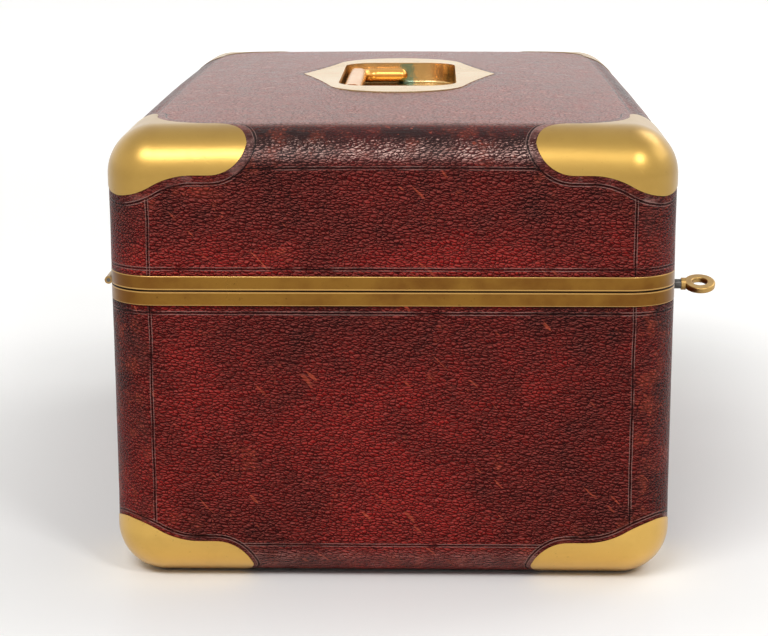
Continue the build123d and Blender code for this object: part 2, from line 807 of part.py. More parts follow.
def stay_arm():
    """The slotted arm, hanging from its screw in the lid past the stud in the case."""
    outer = lined_x - stay_lining_gap
    inner = outer - stay_thickness
    half = stay_width / 2
    low = stay_screw_z - stay_open_gap - stay_end
    arm = span((inner, outer), (stay_y - half, stay_y + half), (low, stay_screw_z))
    arm += rod(half, (inner, stay_y, stay_screw_z), (outer, stay_y, stay_screw_z))
    arm = fillet(arm.edges().filter_by(Axis.X).group_by(Axis.Z)[0], half / 2)
    gap = stay_shank_radius + stay_slot_clearance
    eye = stay_shank_radius + running_clearance
    arm -= rod(eye, (inner - 1, stay_y, stay_screw_z), (outer + 1, stay_y, stay_screw_z))
    slot_high = stay_stud_z
    slot_low = stay_screw_z - stay_open_gap
    arm -= span((inner - 1, outer + 1), (stay_y - gap, stay_y + gap), (slot_low, slot_high))
    for z in (slot_low, slot_high):
        arm -= rod(gap, (inner - 1, stay_y, z), (outer + 1, stay_y, z))
    return arm


def stay_hole(z):
    """The hole in the lining and the end board for a stay's stud or screw."""
    radius = stay_shank_radius + running_clearance
    return rod(radius, (lined_x - 1, stay_y, z), (cavity_x + stay_bite, stay_y, z))


def stay_holder(z):
    """The shouldered screw or stud that carries the stay."""
    inner = lined_x - stay_lining_gap - stay_thickness - stay_play
    shank = rod(stay_shank_radius, (inner, stay_y, z), (cavity_x + stay_bite, stay_y, z))
    head = rod(stay_head_radius, (inner - stay_head_thickness, stay_y, z), (inner, stay_y, z))
    return shank + head


def side_lining(low, high, hole_z):
    """The velvet-covered lining round the inside walls."""
    lining = span(even(cavity_x), even(cavity_y), (low, high))
    lining -= span(even(lined_x), even(lined_y), (low - 1, high + 1))
    return lining - stay_hole(hole_z)


def pad(half_x, half_y, low, high, upward):
    """A padded panel with its soft side rounded over."""
    block = span(even(half_x), even(half_y), (low, high))
    faces = block.faces().sort_by(Axis.Z)
    soft = faces[-1] if upward else faces[0]
    return fillet(soft.edges(), pad_round)


def tray_ledges():
    """The two strips, front and back, that the tray rests on."""
    strips = []
    for side in (-1, 1):
        y = sorted((side * lined_y, side * (lined_y - ledge_width)))
        strips.append(span(even(ledge_length / 2), y, (ledge_top - ledge_height, ledge_top)))
    return group(strips)


def tray_frame():
    """The lift-out tray's floor and walls."""
    plan = RectangleRounded(2 * tray_x, 2 * tray_y, tray_corner_radius)
    tray = extrude(Pos(0, 0, tray_bottom) * plan, amount=tray_height)
    inside_x = tray_x - tray_wall
    inside_y = tray_y - tray_wall
    return tray - span(even(inside_x), even(inside_y), (tray_bottom + tray_floor, tray_top + 1))


def tray_long_divider():
    """The divider between the ring rolls and the open compartments."""
    y = ring_section_back()
    half = tray_x - tray_wall - divider_gap
    low = tray_bottom + tray_floor
    return span(even(half), (y, y + divider_thickness), (low, low + divider_height))


def ring_section_back():
    """The back of the ring section, measured across the box."""
    return -tray_y + tray_wall + ring_section_width


def tray_cross_dividers():
    """Two cross dividers that make three compartments behind the ring rolls."""
    front = ring_section_back() + divider_thickness + divider_gap
    back = tray_y - tray_wall - divider_gap
    low = tray_bottom + tray_floor
    third = (tray_x - tray_wall) / 3
    dividers = []
    for x in (-third, third):
        half = divider_thickness / 2
        dividers.append(span((x - half, x + half), (front, back), (low, low + divider_height)))
    return group(dividers)


def ring_rolls():
    """The soft rolls that hold rings between them."""
    low = tray_bottom + tray_floor
    half = tray_x - tray_wall - roll_end_gap
    step = ring_section_width / roll_count
    rolls = []
    for i in range(roll_count):
        y = -tray_y + tray_wall + step * (i + 0.5)
        roll = span(even(half), (y - roll_width / 2, y + roll_width / 2), (low, low + roll_height))
        upper = roll.faces().sort_by(Axis.Z)[-1]
        rolls.append(fillet(upper.edges(), roll_round))
    return group(rolls)


def tray_tabs():
    """Silk tabs inside the tray's ends, to lift it by."""
    high = tray_top - tab_thickness
    tabs = []
    for side in (-1, 1):
        inner = tray_x - tray_wall
        x = sorted((side * (inner - tab_thickness), side * inner))
        y = ring_section_back() + divider_thickness + tab_width
        tabs.append(span(x, (y, y + tab_width), (high - tab_height, high)))
    return group(tabs)


def build():
    """Every piece of the box, by name."""
    case_outer = case_form(0)
    case_inner = case_form(leather_thickness)
    case_brass = case_form(-brass_stand)
    lid_outer = lid_form(0)
    lid_inner = lid_form(leather_thickness)
    lid_brass = lid_form(-brass_stand)
    pieces = {}
    pieces.update(case_boards())
    pieces.update(lid_boards(lid_inner))
    pieces["case_leather"] = case_leather(case_outer, case_inner)
    pieces["lid_leather"] = lid_leather(lid_outer, lid_inner)
    pieces["base_cover"] = base_cover_space(0)
    for place, space in corner_spaces(0, base_level, True).items():
        pieces["case_corner_" + place] = (case_brass - case_inner) & space
    for place, space in corner_spaces(0, lid_top, False).items():
        pieces["lid_corner_" + place] = (lid_brass - lid_inner) & space
    pieces["case_rim"] = rim(rim_top - rim_height, rim_top - rim_sheet)
    pieces["lid_rim"] = rim(lid_bottom, lid_bottom)
    pieces["hinge_case_leaf"] = hinge_leaf(False)
    pieces["hinge_lid_leaf"] = hinge_leaf(True)
    pieces["hinge_pin"] = hinge_pin()
    pieces["hinge_case_screws"] = group([screw(x, y, rim_top, True) for x, y in hinge_screw_places()])
    pieces["hinge_lid_screws"] = group([screw(x, y, lid_bottom, False) for x, y in hinge_screw_places()])
    pieces["handle_plate"] = handle_plate()
    pieces["handle_pins"] = group(handle_pin_places(0))
    pieces["handle_nuts"] = handle_nuts()
    pieces["handle_bail"] = handle_bail()
    pieces["lock_case"] = lock_case()
    pieces["lock_cap"] = lock_cap()
    pieces["lock_bolt"] = lock_bolt()
    pieces["lock_barrel"] = lock_barrel()
    pieces["lock_screws"] = group([screw(x, y, rim_top, True) for x, y in face_screw_places()])
    pieces["key_ferrule"] = key_ferrule()
    pieces["key_shank"] = key_shank()
    pieces["key_bow"] = key_bow()
    pieces["link_plate"] = link_plate()
    pieces["link_screws"] = group([screw(x, y, lid_bottom, False) for x, y in face_screw_places()])
    pieces["stay_arm"] = stay_arm()
    pieces["stay_stud"] = stay_holder(stay_stud_z)
    pieces["stay_screw"] = stay_holder(stay_screw_z)
    pieces["case_side_lining"] = side_lining(cavity_floor, case_board_top - lining_top_gap, stay_stud_z)
    pieces["lid_side_lining"] = side_lining(lid_board_bottom + lining_top_gap, lid_ceiling, stay_screw_z)
    pad_x = lined_x - pad_gap
    pad_y = lined_y - pad_gap
    pieces["case_floor_pad"] = pad(pad_x, pad_y, cavity_floor, cavity_floor + floor_pad_thickness, True)
    pieces["lid_pad"] = pad(pad_x, pad_y, lid_ceiling - lid_pad_thickness, lid_ceiling, False)
    pieces["tray_ledges"] = tray_ledges()
    pieces["tray_frame"] = tray_frame()
    pieces["tray_long_divider"] = tray_long_divider()
    pieces["tray_cross_dividers"] = tray_cross_dividers()
    pieces["ring_rolls"] = ring_rolls()
    pieces["tray_tabs"] = tray_tabs()
    return pieces


os.makedirs("parts", exist_ok=True)
for name, piece in build().items():
    export_step(piece, "parts/" + name + ".step")
print("bolt travel in mm", round(bolt_travel, 3))
print("hinge axis at y, z", round(hinge_y, 3), round(hinge_z, 3))
print("stay pivots at y, z, z", round(stay_y, 3), round(stay_screw_z, 3), round(stay_stud_z, 3))
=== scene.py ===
# %% [markdown]
# # A leather jewellery box with brass corners
# The box is a wooden carcass covered in pebbled burgundy leather, with brass corners, two brass
# bands along the opening and a folding handle sunk in the lid. The solids of all its pieces come
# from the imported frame. This lesson dresses them: new leather, soft linings and finishes.

# %% Load the frame
import bpy
import json
import math
import numpy as np
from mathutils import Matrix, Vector, noise


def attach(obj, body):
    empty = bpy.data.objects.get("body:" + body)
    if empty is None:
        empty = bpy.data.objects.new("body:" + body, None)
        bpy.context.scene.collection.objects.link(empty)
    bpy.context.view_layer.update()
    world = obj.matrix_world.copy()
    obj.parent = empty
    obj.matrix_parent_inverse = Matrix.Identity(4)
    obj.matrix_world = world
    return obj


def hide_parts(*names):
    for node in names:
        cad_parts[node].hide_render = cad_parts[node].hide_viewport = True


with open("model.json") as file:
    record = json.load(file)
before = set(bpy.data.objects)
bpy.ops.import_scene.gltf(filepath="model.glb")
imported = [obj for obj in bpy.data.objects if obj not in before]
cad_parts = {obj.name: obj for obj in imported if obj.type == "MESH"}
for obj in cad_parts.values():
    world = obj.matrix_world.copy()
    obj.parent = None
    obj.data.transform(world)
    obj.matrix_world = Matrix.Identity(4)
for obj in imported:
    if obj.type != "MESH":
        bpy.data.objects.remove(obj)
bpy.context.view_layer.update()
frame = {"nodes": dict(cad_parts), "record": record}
nodes = frame["nodes"]
MM = 0.001

# %% [markdown]
# ## Sizes shared by the leather and the linings
# The leather has to meet brass pieces that stand 0.3 mm proud of it, so its sizes are the same
# as those of the frame. They are in millimetres, because a maker thinks in them. TUCK is how far
# the leather runs on under the brass. The handle plate is flat and the lid is crowned, so leather
# that lies hidden under the plate is kept below UNDER_PLATE.

# %% Sizes in millimetres
HALF_LENGTH = 176.5
HALF_WIDTH = 115.0
PLAN_RADIUS = 20.5
EDGE_RADIUS = 20.0
UPRIGHT_LINE = 17.8
ARC_STEPS = 17
LEATHER = 1.2
BASE_LEVEL = 0.3
CASE_BAND_LOW = 117.0
LID_BAND_TOP = 129.2
LID_TOP = 187.4
CROWN = 5.4
UNDER_PLATE = 191.4
CROWN_HALF_X = 181.5
CROWN_HALF_Y = 120.0
CORNER_REACH = 58.0
CORNER_LOBE = 17.5
CORNER_TIP = 15.5
CORNER_DROP = 26.5
SWELL_START = 3.0
SWELL_END = 36.0
COVER_HALF_X = 146.6
COVER_HALF_Y = 85.1
GRID = 2.0
TUCK = 1.5
print("leather box", 2 * HALF_LENGTH, "by", 2 * HALF_WIDTH, "mm")

# %% [markdown]
# ## The camera
# The photograph looks at the box's left end from a little above, with a long lens. Solving the
# box's straight edges for a camera gave its place, its direction and its focal length.

# %% Camera
PHOTO_WIDTH = 768
FOCAL_PIXELS = 2000.0
CAMERA_PLACE = Vector((-0.9582, -0.0178, 0.2891))
LOOK = Vector((0.9750, 0.0258, -0.2205)).normalized()
ROLL = 0.0028

camera_data = bpy.data.cameras.new("photo_camera")
camera_data.sensor_width = 36.0
camera_data.lens = FOCAL_PIXELS / PHOTO_WIDTH * camera_data.sensor_width
camera_data.clip_start = 0.05
camera_data.clip_end = 50.0
camera = bpy.data.objects.new("photo_camera", camera_data)
bpy.context.scene.collection.objects.link(camera)
camera.location = CAMERA_PLACE
camera.rotation_mode = "QUATERNION"
camera.rotation_quaternion = LOOK.to_track_quat("-Z", "Y")
camera.rotation_quaternion.rotate(camera.rotation_quaternion.__class__(LOOK, ROLL))
bpy.context.scene.camera = camera
bpy.context.scene.view_settings.view_transform = "Standard"
print("lens", round(camera_data.lens, 2), "mm")

# %% [markdown]
# ## Helpers for materials
# A procedural material is a net of nodes. These helpers keep each one short. The first makes a
# node and gives its inputs values or links. The others in this cell do sums with it, on numbers,
# on vectors and on places.


# %% Nodes and sums
def add(tree, kind, values=None, **settings):
    """A new node, with settings on the node and values on its input sockets."""
    made = tree.nodes.new(kind)
    for key, value in settings.items():
        setattr(made, key, value)
    for key, value in (values or {}).items():
        if isinstance(value, bpy.types.NodeSocket):
            tree.links.new(value, made.inputs[key])
        else:
            made.inputs[key].default_value = value
    return made


def calc(tree, operation, a, b=0.0, c=None, clamp=False):
    """The result socket of a math node on two or three numbers or sockets."""
    values = {0: a, 1: b}
    if c is not None:
        values[2] = c
    return add(tree, "ShaderNodeMath", values, operation=operation, use_clamp=clamp).outputs[0]


def step(tree, value, low, high):
    """0 below low, 1 above high and smooth between them; low may be above high."""
    made = add(tree, "ShaderNodeMapRange", {"Value": value}, interpolation_type="SMOOTHSTEP")
    made.inputs["From Min"].default_value = min(low, high)
    made.inputs["From Max"].default_value = max(low, high)
    made.inputs["To Min"].default_value = 0.0 if low < high else 1.0
    made.inputs["To Max"].default_value = 1.0 if low < high else 0.0
    return made.outputs["Result"]


def vector_calc(tree, operation, a, b=None, scale=None):
    """A vector math node's result: a number for a dot product or a length, else a vector."""
    values = {0: a}
    if b is not None:
        values[1] = b
    if scale is not None:
        values["Scale"] = scale
    made = add(tree, "ShaderNodeVectorMath", values, operation=operation)
    return made.outputs["Value" if operation in ("DOT_PRODUCT", "LENGTH") else "Vector"]


def coordinate(tree, place, axis):
    """One coordinate of a place, in metres."""
    return add(tree, "ShaderNodeSeparateXYZ", {0: place}).outputs[axis]


print("helpers for sums ready")

# %% [markdown]
# ## Colours, patterns and bumps
# A finish is built up from its ground colour: each mask blends one more colour over what is
# there. Patterns are measured in waves per metre, and bumps in metres.


# %% Colour and pattern helpers
def blend_colour(tree, factor, a, b, way="MIX"):
    """Colour a changed towards b by a factor."""
    made = add(tree, "ShaderNodeMix", data_type="RGBA", blend_type=way, clamp_factor=True)
    for index, value in ((0, factor), (6, a), (7, b)):
        if isinstance(value, bpy.types.NodeSocket):
            tree.links.new(value, made.inputs[index])
        elif index == 0:
            made.inputs[index].default_value = value
        else:
            made.inputs[index].default_value = (*value[:3], 1.0)
    return made.outputs[2]


def noise_at(tree, vector, scale, detail=2.0, rough=0.5, colour=False):
    """A noise pattern's number, or its colour, at a number of waves per metre."""
    made = add(tree, "ShaderNodeTexNoise", {"Vector": vector, "Scale": scale, "Detail": detail,
                                            "Roughness": rough})
    return made.outputs["Color" if colour else 0]


def mapped(tree, place, scale, turn=(0.0, 0.0, 0.0), kind="POINT"):
    """A place turned and scaled; with TEXTURE it is the pattern that is turned and scaled."""
    return add(tree, "ShaderNodeMapping", {"Vector": place, "Rotation": turn, "Scale": scale},
               vector_type=kind).outputs[0]


def bump(tree, height, distance, strength=1.0):
    """A normal socket from a height pattern, measured in metres."""
    made = add(tree, "ShaderNodeBump",
               {"Height": height, "Distance": distance, "Strength": strength})
    return made.outputs["Normal"]


print("helpers for colours ready")

# %% [markdown]
# ## Groups and materials
# An effect that several finishes share is a shader group with named sockets. A material starts
# with its Principled shader, on which everything is set that is the same all over.


# %% Group and material helpers
def start_group(name, inputs, outputs):
    """A shader group with named number, vector and colour sockets."""
    group = bpy.data.node_groups.new(name, "ShaderNodeTree")
    for socket, kind, value in inputs:
        made = group.interface.new_socket(socket, in_out="INPUT",
                                          socket_type="NodeSocket" + kind)
        if value is not None:
            made.default_value = value
    for socket, kind in outputs:
        group.interface.new_socket(socket, in_out="OUTPUT", socket_type="NodeSocket" + kind)
    given = group.nodes.new("NodeGroupInput").outputs
    return group, given, group.nodes.new("NodeGroupOutput").inputs


def use_group(tree, group, values):
    """A shader group placed in a material, with its own values."""
    made = tree.nodes.new("ShaderNodeGroup")
    made.node_tree = group
    for key, value in values.items():
        if isinstance(value, bpy.types.NodeSocket):
            tree.links.new(value, made.inputs[key])
        else:
            made.inputs[key].default_value = value
    return made.outputs


def start_material(name, roughness=0.5, metallic=0.0, **more):
    """A material with its Principled shader, ready for patterns."""
    material = bpy.data.materials.new(name)
    material.use_nodes = True
    tree = material.node_tree
    shader = tree.nodes["Principled BSDF"]
    shader.inputs["Roughness"].default_value = roughness
    shader.inputs["Metallic"].default_value = metallic
    for key, value in more.items():
        shader.inputs[key.replace("_", " ").title().replace("Ior", "IOR")].default_value = value
    place = tree.nodes.new("ShaderNodeTexCoord").outputs["Object"]
    return material, tree, shader.inputs, place


print("helpers for groups and materials ready")

# %% [markdown]
# ## Pebbled grain
# The leather's grain is a net of creases round small domed pebbles of about 1 mm. Voronoi cells
# have that form: the distance to a cell's middle gives the dome, the distance to its edge gives
# the crease. A swirl of noise bends the cells, because real pebbles are never regular. Groups
# like this one put out only masks and heights, and each finish takes them its own way.

# %% Pebble grain group
grain_group, given, give = start_group(
    "pebble_grain",
    [("Vector", "Vector", None), ("Cells", "Float", 800.0), ("Warp", "Float", 0.0006)],
    [("Height", "Float"), ("Crease", "Float")])
tree = grain_group
swirl = noise_at(tree, given["Vector"], 260.0, 1.0, colour=True)
swirl = vector_calc(tree, "SUBTRACT", swirl, (0.5, 0.5, 0.5))
swirl = vector_calc(tree, "SCALE", swirl, scale=given["Warp"])
warped = vector_calc(tree, "ADD", given["Vector"], swirl)
cells = add(tree, "ShaderNodeTexVoronoi", {"Vector": warped, "Scale": given["Cells"]},
            feature="SMOOTH_F1")
cells.inputs["Smoothness"].default_value = 0.25
gaps = add(tree, "ShaderNodeTexVoronoi", {"Vector": warped, "Scale": given["Cells"]},
           feature="DISTANCE_TO_EDGE")
crease = step(tree, gaps.outputs["Distance"], 0.16, 0.0)
fine_scale = calc(tree, "MULTIPLY", given["Cells"], 2.4)
fine = add(tree, "ShaderNodeTexVoronoi", {"Vector": warped, "Scale": fine_scale}, feature="F1")
dome = calc(tree, "SUBTRACT", 1.0, cells.outputs["Distance"])
rise = calc(tree, "MULTIPLY_ADD", crease, -0.35, dome)
rise = calc(tree, "MULTIPLY_ADD", fine.outputs["Distance"], -0.25, rise)
tree.links.new(rise, give["Height"])
tree.links.new(crease, give["Crease"])
print("made", grain_group.name)

# %% [markdown]
# ## Rubs and scratches
# Hands take the dye off in cloudy patches, and hard things leave thin lines. Two noises added and
# cut off at a limit give patches, whose share follows Amount. Noise stretched along one direction
# gives streaks, and only its highest parts are kept as scratches.

# %% Rubbing and scratch group
rub_group, given, give = start_group(
    "rubbing",
    [("Vector", "Vector", None), ("Size", "Float", 60.0), ("Amount", "Float", 0.5)],
    [("Rub", "Float"), ("Scratch", "Float")])
tree = rub_group
large = noise_at(tree, given["Vector"], given["Size"], 3.0, 0.62)
speckle = noise_at(tree, given["Vector"], 900.0, 2.0, 0.6)
both = calc(tree, "MULTIPLY_ADD", speckle, 0.45, large)
limit = calc(tree, "MULTIPLY_ADD", given["Amount"], -0.45, 1.02)
excess = calc(tree, "SUBTRACT", both, limit)
rub = calc(tree, "MULTIPLY", excess, 9.0, clamp=True)
turned = mapped(tree, given["Vector"], (1.0, 16.0, 1.0), (0.95, 0.5, 0.8), "TEXTURE")
streaks = noise_at(tree, turned, 520.0, 1.0, 0.5)
where = noise_at(tree, given["Vector"], 40.0, 2.0, 0.5)
scratch = calc(tree, "MULTIPLY", step(tree, streaks, 0.69, 0.74), step(tree, where, 0.50, 0.60))
tree.links.new(rub, give["Rub"])
tree.links.new(scratch, give["Scratch"])
print("made", rub_group.name)

# %% [markdown]
# ## Tooled lines
# A wheel or a bone tool presses a fine line into the damp leather, and a thin ridge rises on each
# side of it. The group turns the distance from a line into these two masks, so the same group
# serves every line on the box.

# %% Tooled line group
line_group, given, give = start_group(
    "tooled_line",
    [("Distance", "Float", 0.0), ("Half Width", "Float", 0.4)],
    [("Groove", "Float"), ("Ridge", "Float")])
tree = line_group
away = calc(tree, "ABSOLUTE", given["Distance"])
part = calc(tree, "DIVIDE", away, given["Half Width"])
tree.links.new(step(tree, part, 1.0, 0.2), give["Groove"])
ridge = calc(tree, "ABSOLUTE", calc(tree, "SUBTRACT", part, 1.7))
tree.links.new(step(tree, ridge, 0.7, 0.0), give["Ridge"])
print("made", line_group.name)

# %% [markdown]
# ## The leather covering
# The real leather is one thin skin glued round the boards. It must be smooth over the rounded
# edges and know how far it is from the brass, because the leather is burnished and tooled along
# every edge. So each skin is laid in rings round the box, and each point keeps three distances:
# to the brass corner's outline, to the upright tooled lines and along the rounded edge.


# %% Outline of the box in plan
def plan_ring():
    """Points round the box's plan, their outward directions, and the marks along its straights."""
    straight_x = HALF_LENGTH - PLAN_RADIUS
    straight_y = HALF_WIDTH - PLAN_RADIUS
    xs = np.linspace(-straight_x, straight_x, round(2 * straight_x / GRID) + 1)
    ys = np.linspace(-straight_y, straight_y, round(2 * straight_y / GRID) + 1)
    arc = np.linspace(0, math.pi / 2, ARC_STEPS + 1)[1:-1]

    def rounded(side_x, side_y, out_x, out_y):
        return (side_x * straight_x + PLAN_RADIUS * out_x,
                side_y * straight_y + PLAN_RADIUS * out_y, out_x, out_y)

    points = [(x, -HALF_WIDTH, 0, -1) for x in xs]
    points += [rounded(1, -1, math.sin(t), -math.cos(t)) for t in arc]
    points += [(HALF_LENGTH, y, 1, 0) for y in ys]
    points += [rounded(1, 1, math.cos(t), math.sin(t)) for t in arc]
    points += [(x, HALF_WIDTH, 0, 1) for x in xs[::-1]]
    points += [rounded(-1, 1, -math.sin(t), math.cos(t)) for t in arc]
    points += [(-HALF_LENGTH, y, -1, 0) for y in ys[::-1]]
    points += [rounded(-1, -1, -math.cos(t), -math.sin(t)) for t in arc]
    ring = np.array(points)
    return ring[:, :2], ring[:, 2:], xs, ys


ring_points, ring_out, grid_xs, grid_ys = plan_ring()
print("plan ring of", len(ring_points), "points")

# %% [markdown]
# ## The outlines of the brass corners
# The leather is tooled and worn along each brass corner, so it has to know that corner's outline.
# It is drawn from the same arcs as the solid: once for the upright faces, where it swells down
# over the box's edge, and once for the level ones, where two rounded tips meet in a hollow waist.
# Both are measured from the box's corner, and run on to FAR beyond it.


# %% Outlines of a brass corner
FAR = 60.0


def arc_points(centre, radius, start, end, count=24):
    """Points along an arc, its angles in degrees."""
    angles = np.radians(np.linspace(start, end, count))
    return np.column_stack([centre[0] + radius * np.cos(angles),
                            centre[1] + radius * np.sin(angles)])


def outline_upright():
    """A brass corner's edge on an upright face, from its lobe to its low point at the edge."""
    swell_x = (SWELL_END - SWELL_START) / 2
    swell_y = (CORNER_DROP - CORNER_LOBE) / 2
    radius = (swell_x ** 2 + swell_y ** 2) / (2 * swell_y)
    half_turn = math.degrees(math.asin(swell_x / radius))
    tip_x = CORNER_REACH - CORNER_TIP
    tip_y = CORNER_LOBE - CORNER_TIP
    down = np.array([[CORNER_REACH, y] for y in np.linspace(-FAR, tip_y, 60)])
    tip = arc_points((tip_x, tip_y), CORNER_TIP, 0, 90, 40)
    flat = np.array([[x, CORNER_LOBE] for x in np.linspace(tip_x, SWELL_END, 10)])
    hollow = arc_points((SWELL_END, CORNER_LOBE + radius), radius, -90, -90 - half_turn, 30)
    full = arc_points((SWELL_START, CORNER_DROP - radius), radius, 90 - half_turn, 90, 30)
    last = np.array([[x, CORNER_DROP] for x in np.linspace(SWELL_START, -FAR, 60)])
    return np.vstack([down, tip, flat, hollow, full, last])


def outline_level():
    """A brass corner's edge on the top or the base."""
    tip_far = CORNER_REACH - CORNER_TIP
    tip_near = CORNER_LOBE - CORNER_TIP
    down = np.array([[CORNER_REACH, y] for y in np.linspace(-FAR, tip_near, 60)])
    first = arc_points((tip_far, tip_near), CORNER_TIP, 0, 90, 40)
    waist = arc_points((tip_far, tip_far), tip_far - CORNER_LOBE, 270, 180, 40)
    second = arc_points((tip_near, tip_far), CORNER_TIP, 0, 90, 40)
    last = np.array([[x, CORNER_REACH] for x in np.linspace(tip_near, -FAR, 60)])
    return np.vstack([down, first, waist, second, last])


print("corner outline has", len(outline_upright()), "points")

# %% [markdown]
# ## Distance from an outline
# The distance from a point to an outline is the least of its distances to the outline's short
# steps. A line drawn from the point crosses a closed outline an odd number of times when the
# point is inside, which gives the sign. A brass corner shows on three faces, and a point is
# under it only where it is inside on all three, so the greatest of the three distances counts.


# %% How far a point is from the brass corners
CORNER_ZONE = 110.0
DEEPEST = -20.0


def signed_distance(u, v, outline):
    """Distance in millimetres from points to an outline, below zero on the side of the corner."""
    steps = outline[1:] - outline[:-1]
    length = np.maximum((steps ** 2).sum(1), 1e-9)
    least = np.full(len(u), 1e9)
    inside = np.zeros(len(u), bool)
    polygon = np.vstack([outline, [[-FAR, -FAR]]])
    for (x, y), (dx, dy), size in zip(outline, steps, length):
        along = np.clip(((u - x) * dx + (v - y) * dy) / size, 0, 1)
        least = np.minimum(least, np.hypot(u - x - along * dx, v - y - along * dy))
    for (x1, y1), (x2, y2) in zip(polygon, np.roll(polygon, -1, axis=0)):
        crosses = (y1 > v) != (y2 > v)
        with np.errstate(divide="ignore", invalid="ignore"):
            at = (x2 - x1) * (v - y1) / (y2 - y1) + x1
        inside ^= crosses & (u < at)
    return np.where(inside, -least, least)


def corner_distance(points, is_lid):
    """Each point's distance to the nearest brass corner, below zero under the brass."""
    a = HALF_LENGTH - np.abs(points[:, 0])
    b = HALF_WIDTH - np.abs(points[:, 1])
    c = LID_TOP - points[:, 2] if is_lid else points[:, 2] - BASE_LEVEL
    near = (a < CORNER_ZONE) & (b < CORNER_ZONE) & (c < CORNER_ZONE)
    distance = np.full(len(points), FAR)
    upright, level = outline_upright(), outline_level()
    end_view = signed_distance(b[near], c[near], upright)
    side_view = signed_distance(a[near], c[near], upright)
    top_view = signed_distance(a[near], b[near], level)
    distance[near] = np.maximum(np.maximum(end_view, side_view), top_view)
    return np.clip(distance, DEEPEST, FAR)


print("corner distances kept up to", FAR, "mm")

# %% [markdown]
# ## The crown and the upright lines
# The lid's top is not flat: it rises by CROWN towards its middle, as a padded lid does. Near each
# upright edge a line is tooled from rim to corner. It runs about where the flat face ends, so the
# distance to it is measured along the surface: straight on the faces, along the arc between them.


# %% The lid's crown and the upright lines
def crown_height(x, y):
    """The crowned top of the lid."""
    return LID_TOP + CROWN * (1 - (x / CROWN_HALF_X) ** 2) * (1 - (y / CROWN_HALF_Y) ** 2)


def upright_gap():
    """For each point of the plan ring, the distance along the surface to the upright lines."""
    line_end = HALF_WIDTH - UPRIGHT_LINE
    line_side = HALF_LENGTH - UPRIGHT_LINE
    x, y = ring_points[:, 0], ring_points[:, 1]
    on_end = np.abs(ring_out[:, 0]) > 0.999
    on_side = np.abs(ring_out[:, 1]) > 0.999
    turn = np.arctan2(np.abs(ring_out[:, 1]), np.abs(ring_out[:, 0]))
    from_arc_end = PLAN_RADIUS * np.minimum(turn, math.pi / 2 - turn)
    on_arc = PLAN_RADIUS - UPRIGHT_LINE - from_arc_end
    on_flats = np.where(on_side, line_side - np.abs(x), on_arc)
    return np.where(on_end, line_end - np.abs(y), on_flats)


print("the lid rises to", round(crown_height(0, 0), 1), "mm")

# %% [markdown]
# ## Laying a skin ring by ring
# A skin starts at the brass rim, goes straight up or down the wall and rolls over the rounded
# edge. Each step is one ring of points of the same number, so neighbouring rings join in a belt
# of even quads. On the lid the crown slopes away, so the edge's arc ends where it meets the
# slope; a few rounds of correction find that place.


# %% Wall and rounded edge
EDGE_MIDDLE = EDGE_RADIUS * math.pi / 4
EDGE_STEPS = 15
SLOPE_ROUNDS = 3


class Skin:
    """Points, faces and distances of one leather skin."""

    def __init__(self):
        self.points, self.gap, self.edge, self.faces = [], [], [], []

    def ring(self, points, gap, edge):
        """Adds a ring with its distances, and returns the index of its first point."""
        first = sum(len(p) for p in self.points)
        self.points.append(points)
        self.gap.append(gap)
        self.edge.append(np.broadcast_to(edge, len(points)).astype(float))
        return first

    def join(self, low, high, count, flip=False):
        """A belt of faces between two rings."""
        for i in range(count):
            j = (i + 1) % count
            face = (low + i, low + j, high + j, high + i)
            self.faces.append(face[::-1] if flip else face)


def fillet_frame(is_lid):
    """The centre of the rounded edge along the ring, its level and how far it turns."""
    centre = ring_points - EDGE_RADIUS * ring_out
    if not is_lid:
        level = np.full(len(centre), BASE_LEVEL + EDGE_RADIUS)
        return centre, level, np.full(len(centre), math.pi / 2)
    slope = np.zeros(len(centre))
    probe = 0.01
    for _ in range(SLOPE_ROUNDS):
        touch = centre + (EDGE_RADIUS * np.sin(slope))[:, None] * ring_out
        ahead = touch + probe * ring_out
        fall = crown_height(touch[:, 0], touch[:, 1]) - crown_height(ahead[:, 0], ahead[:, 1])
        slope = np.arctan(fall / probe)
    touch = centre + (EDGE_RADIUS * np.sin(slope))[:, None] * ring_out
    level = crown_height(touch[:, 0], touch[:, 1]) - EDGE_RADIUS * np.cos(slope)
    return centre, level, math.pi / 2 - slope


def wall_and_edge(skin, is_lid):
    """The upright wall and the rounded edge; returns the last ring's first index."""
    count = len(ring_points)
    gap = upright_gap()
    centre, level, turn = fillet_frame(is_lid)
    start = np.full(count, LID_BAND_TOP if is_lid else CASE_BAND_LOW)
    wall = round(abs(level[0] - start[0]) / GRID)
    before = None
    for i in range(wall + 1):
        z = start + (level - start) * i / wall
        run = -EDGE_MIDDLE - np.abs(level - z)
        here = skin.ring(np.column_stack([ring_points, z]), gap, run)
        if before is not None:
            skin.join(before, here, count, flip=not is_lid)
        before = here
    for i in range(1, EDGE_STEPS + 1):
        angle = turn * i / EDGE_STEPS
        plan = centre + (EDGE_RADIUS * np.cos(angle))[:, None] * ring_out
        rise = EDGE_RADIUS * np.sin(angle)
        z = level + rise if is_lid else level - rise
        here = skin.ring(np.column_stack([plan, z]), gap, EDGE_RADIUS * angle - EDGE_MIDDLE)
        skin.join(before, here, count, flip=not is_lid)
        before = here
    return before


print("rounded edge in", EDGE_STEPS, "steps")

# %% [markdown]
# ## The top panel and the turn-in below
# The lid's top is a square grid inside the last ring, because rings drawn in to the middle would
# crowd there. The points of the last ring on each rounded corner all meet the grid's own corner.
# Under the case the leather is turned in only as far as the flat cover, in a few narrowing rings.


# %% Top panel and turn-in
NO_LINE = 30.0
BASE_STEPS = 7
BASE_RUN = 30.0


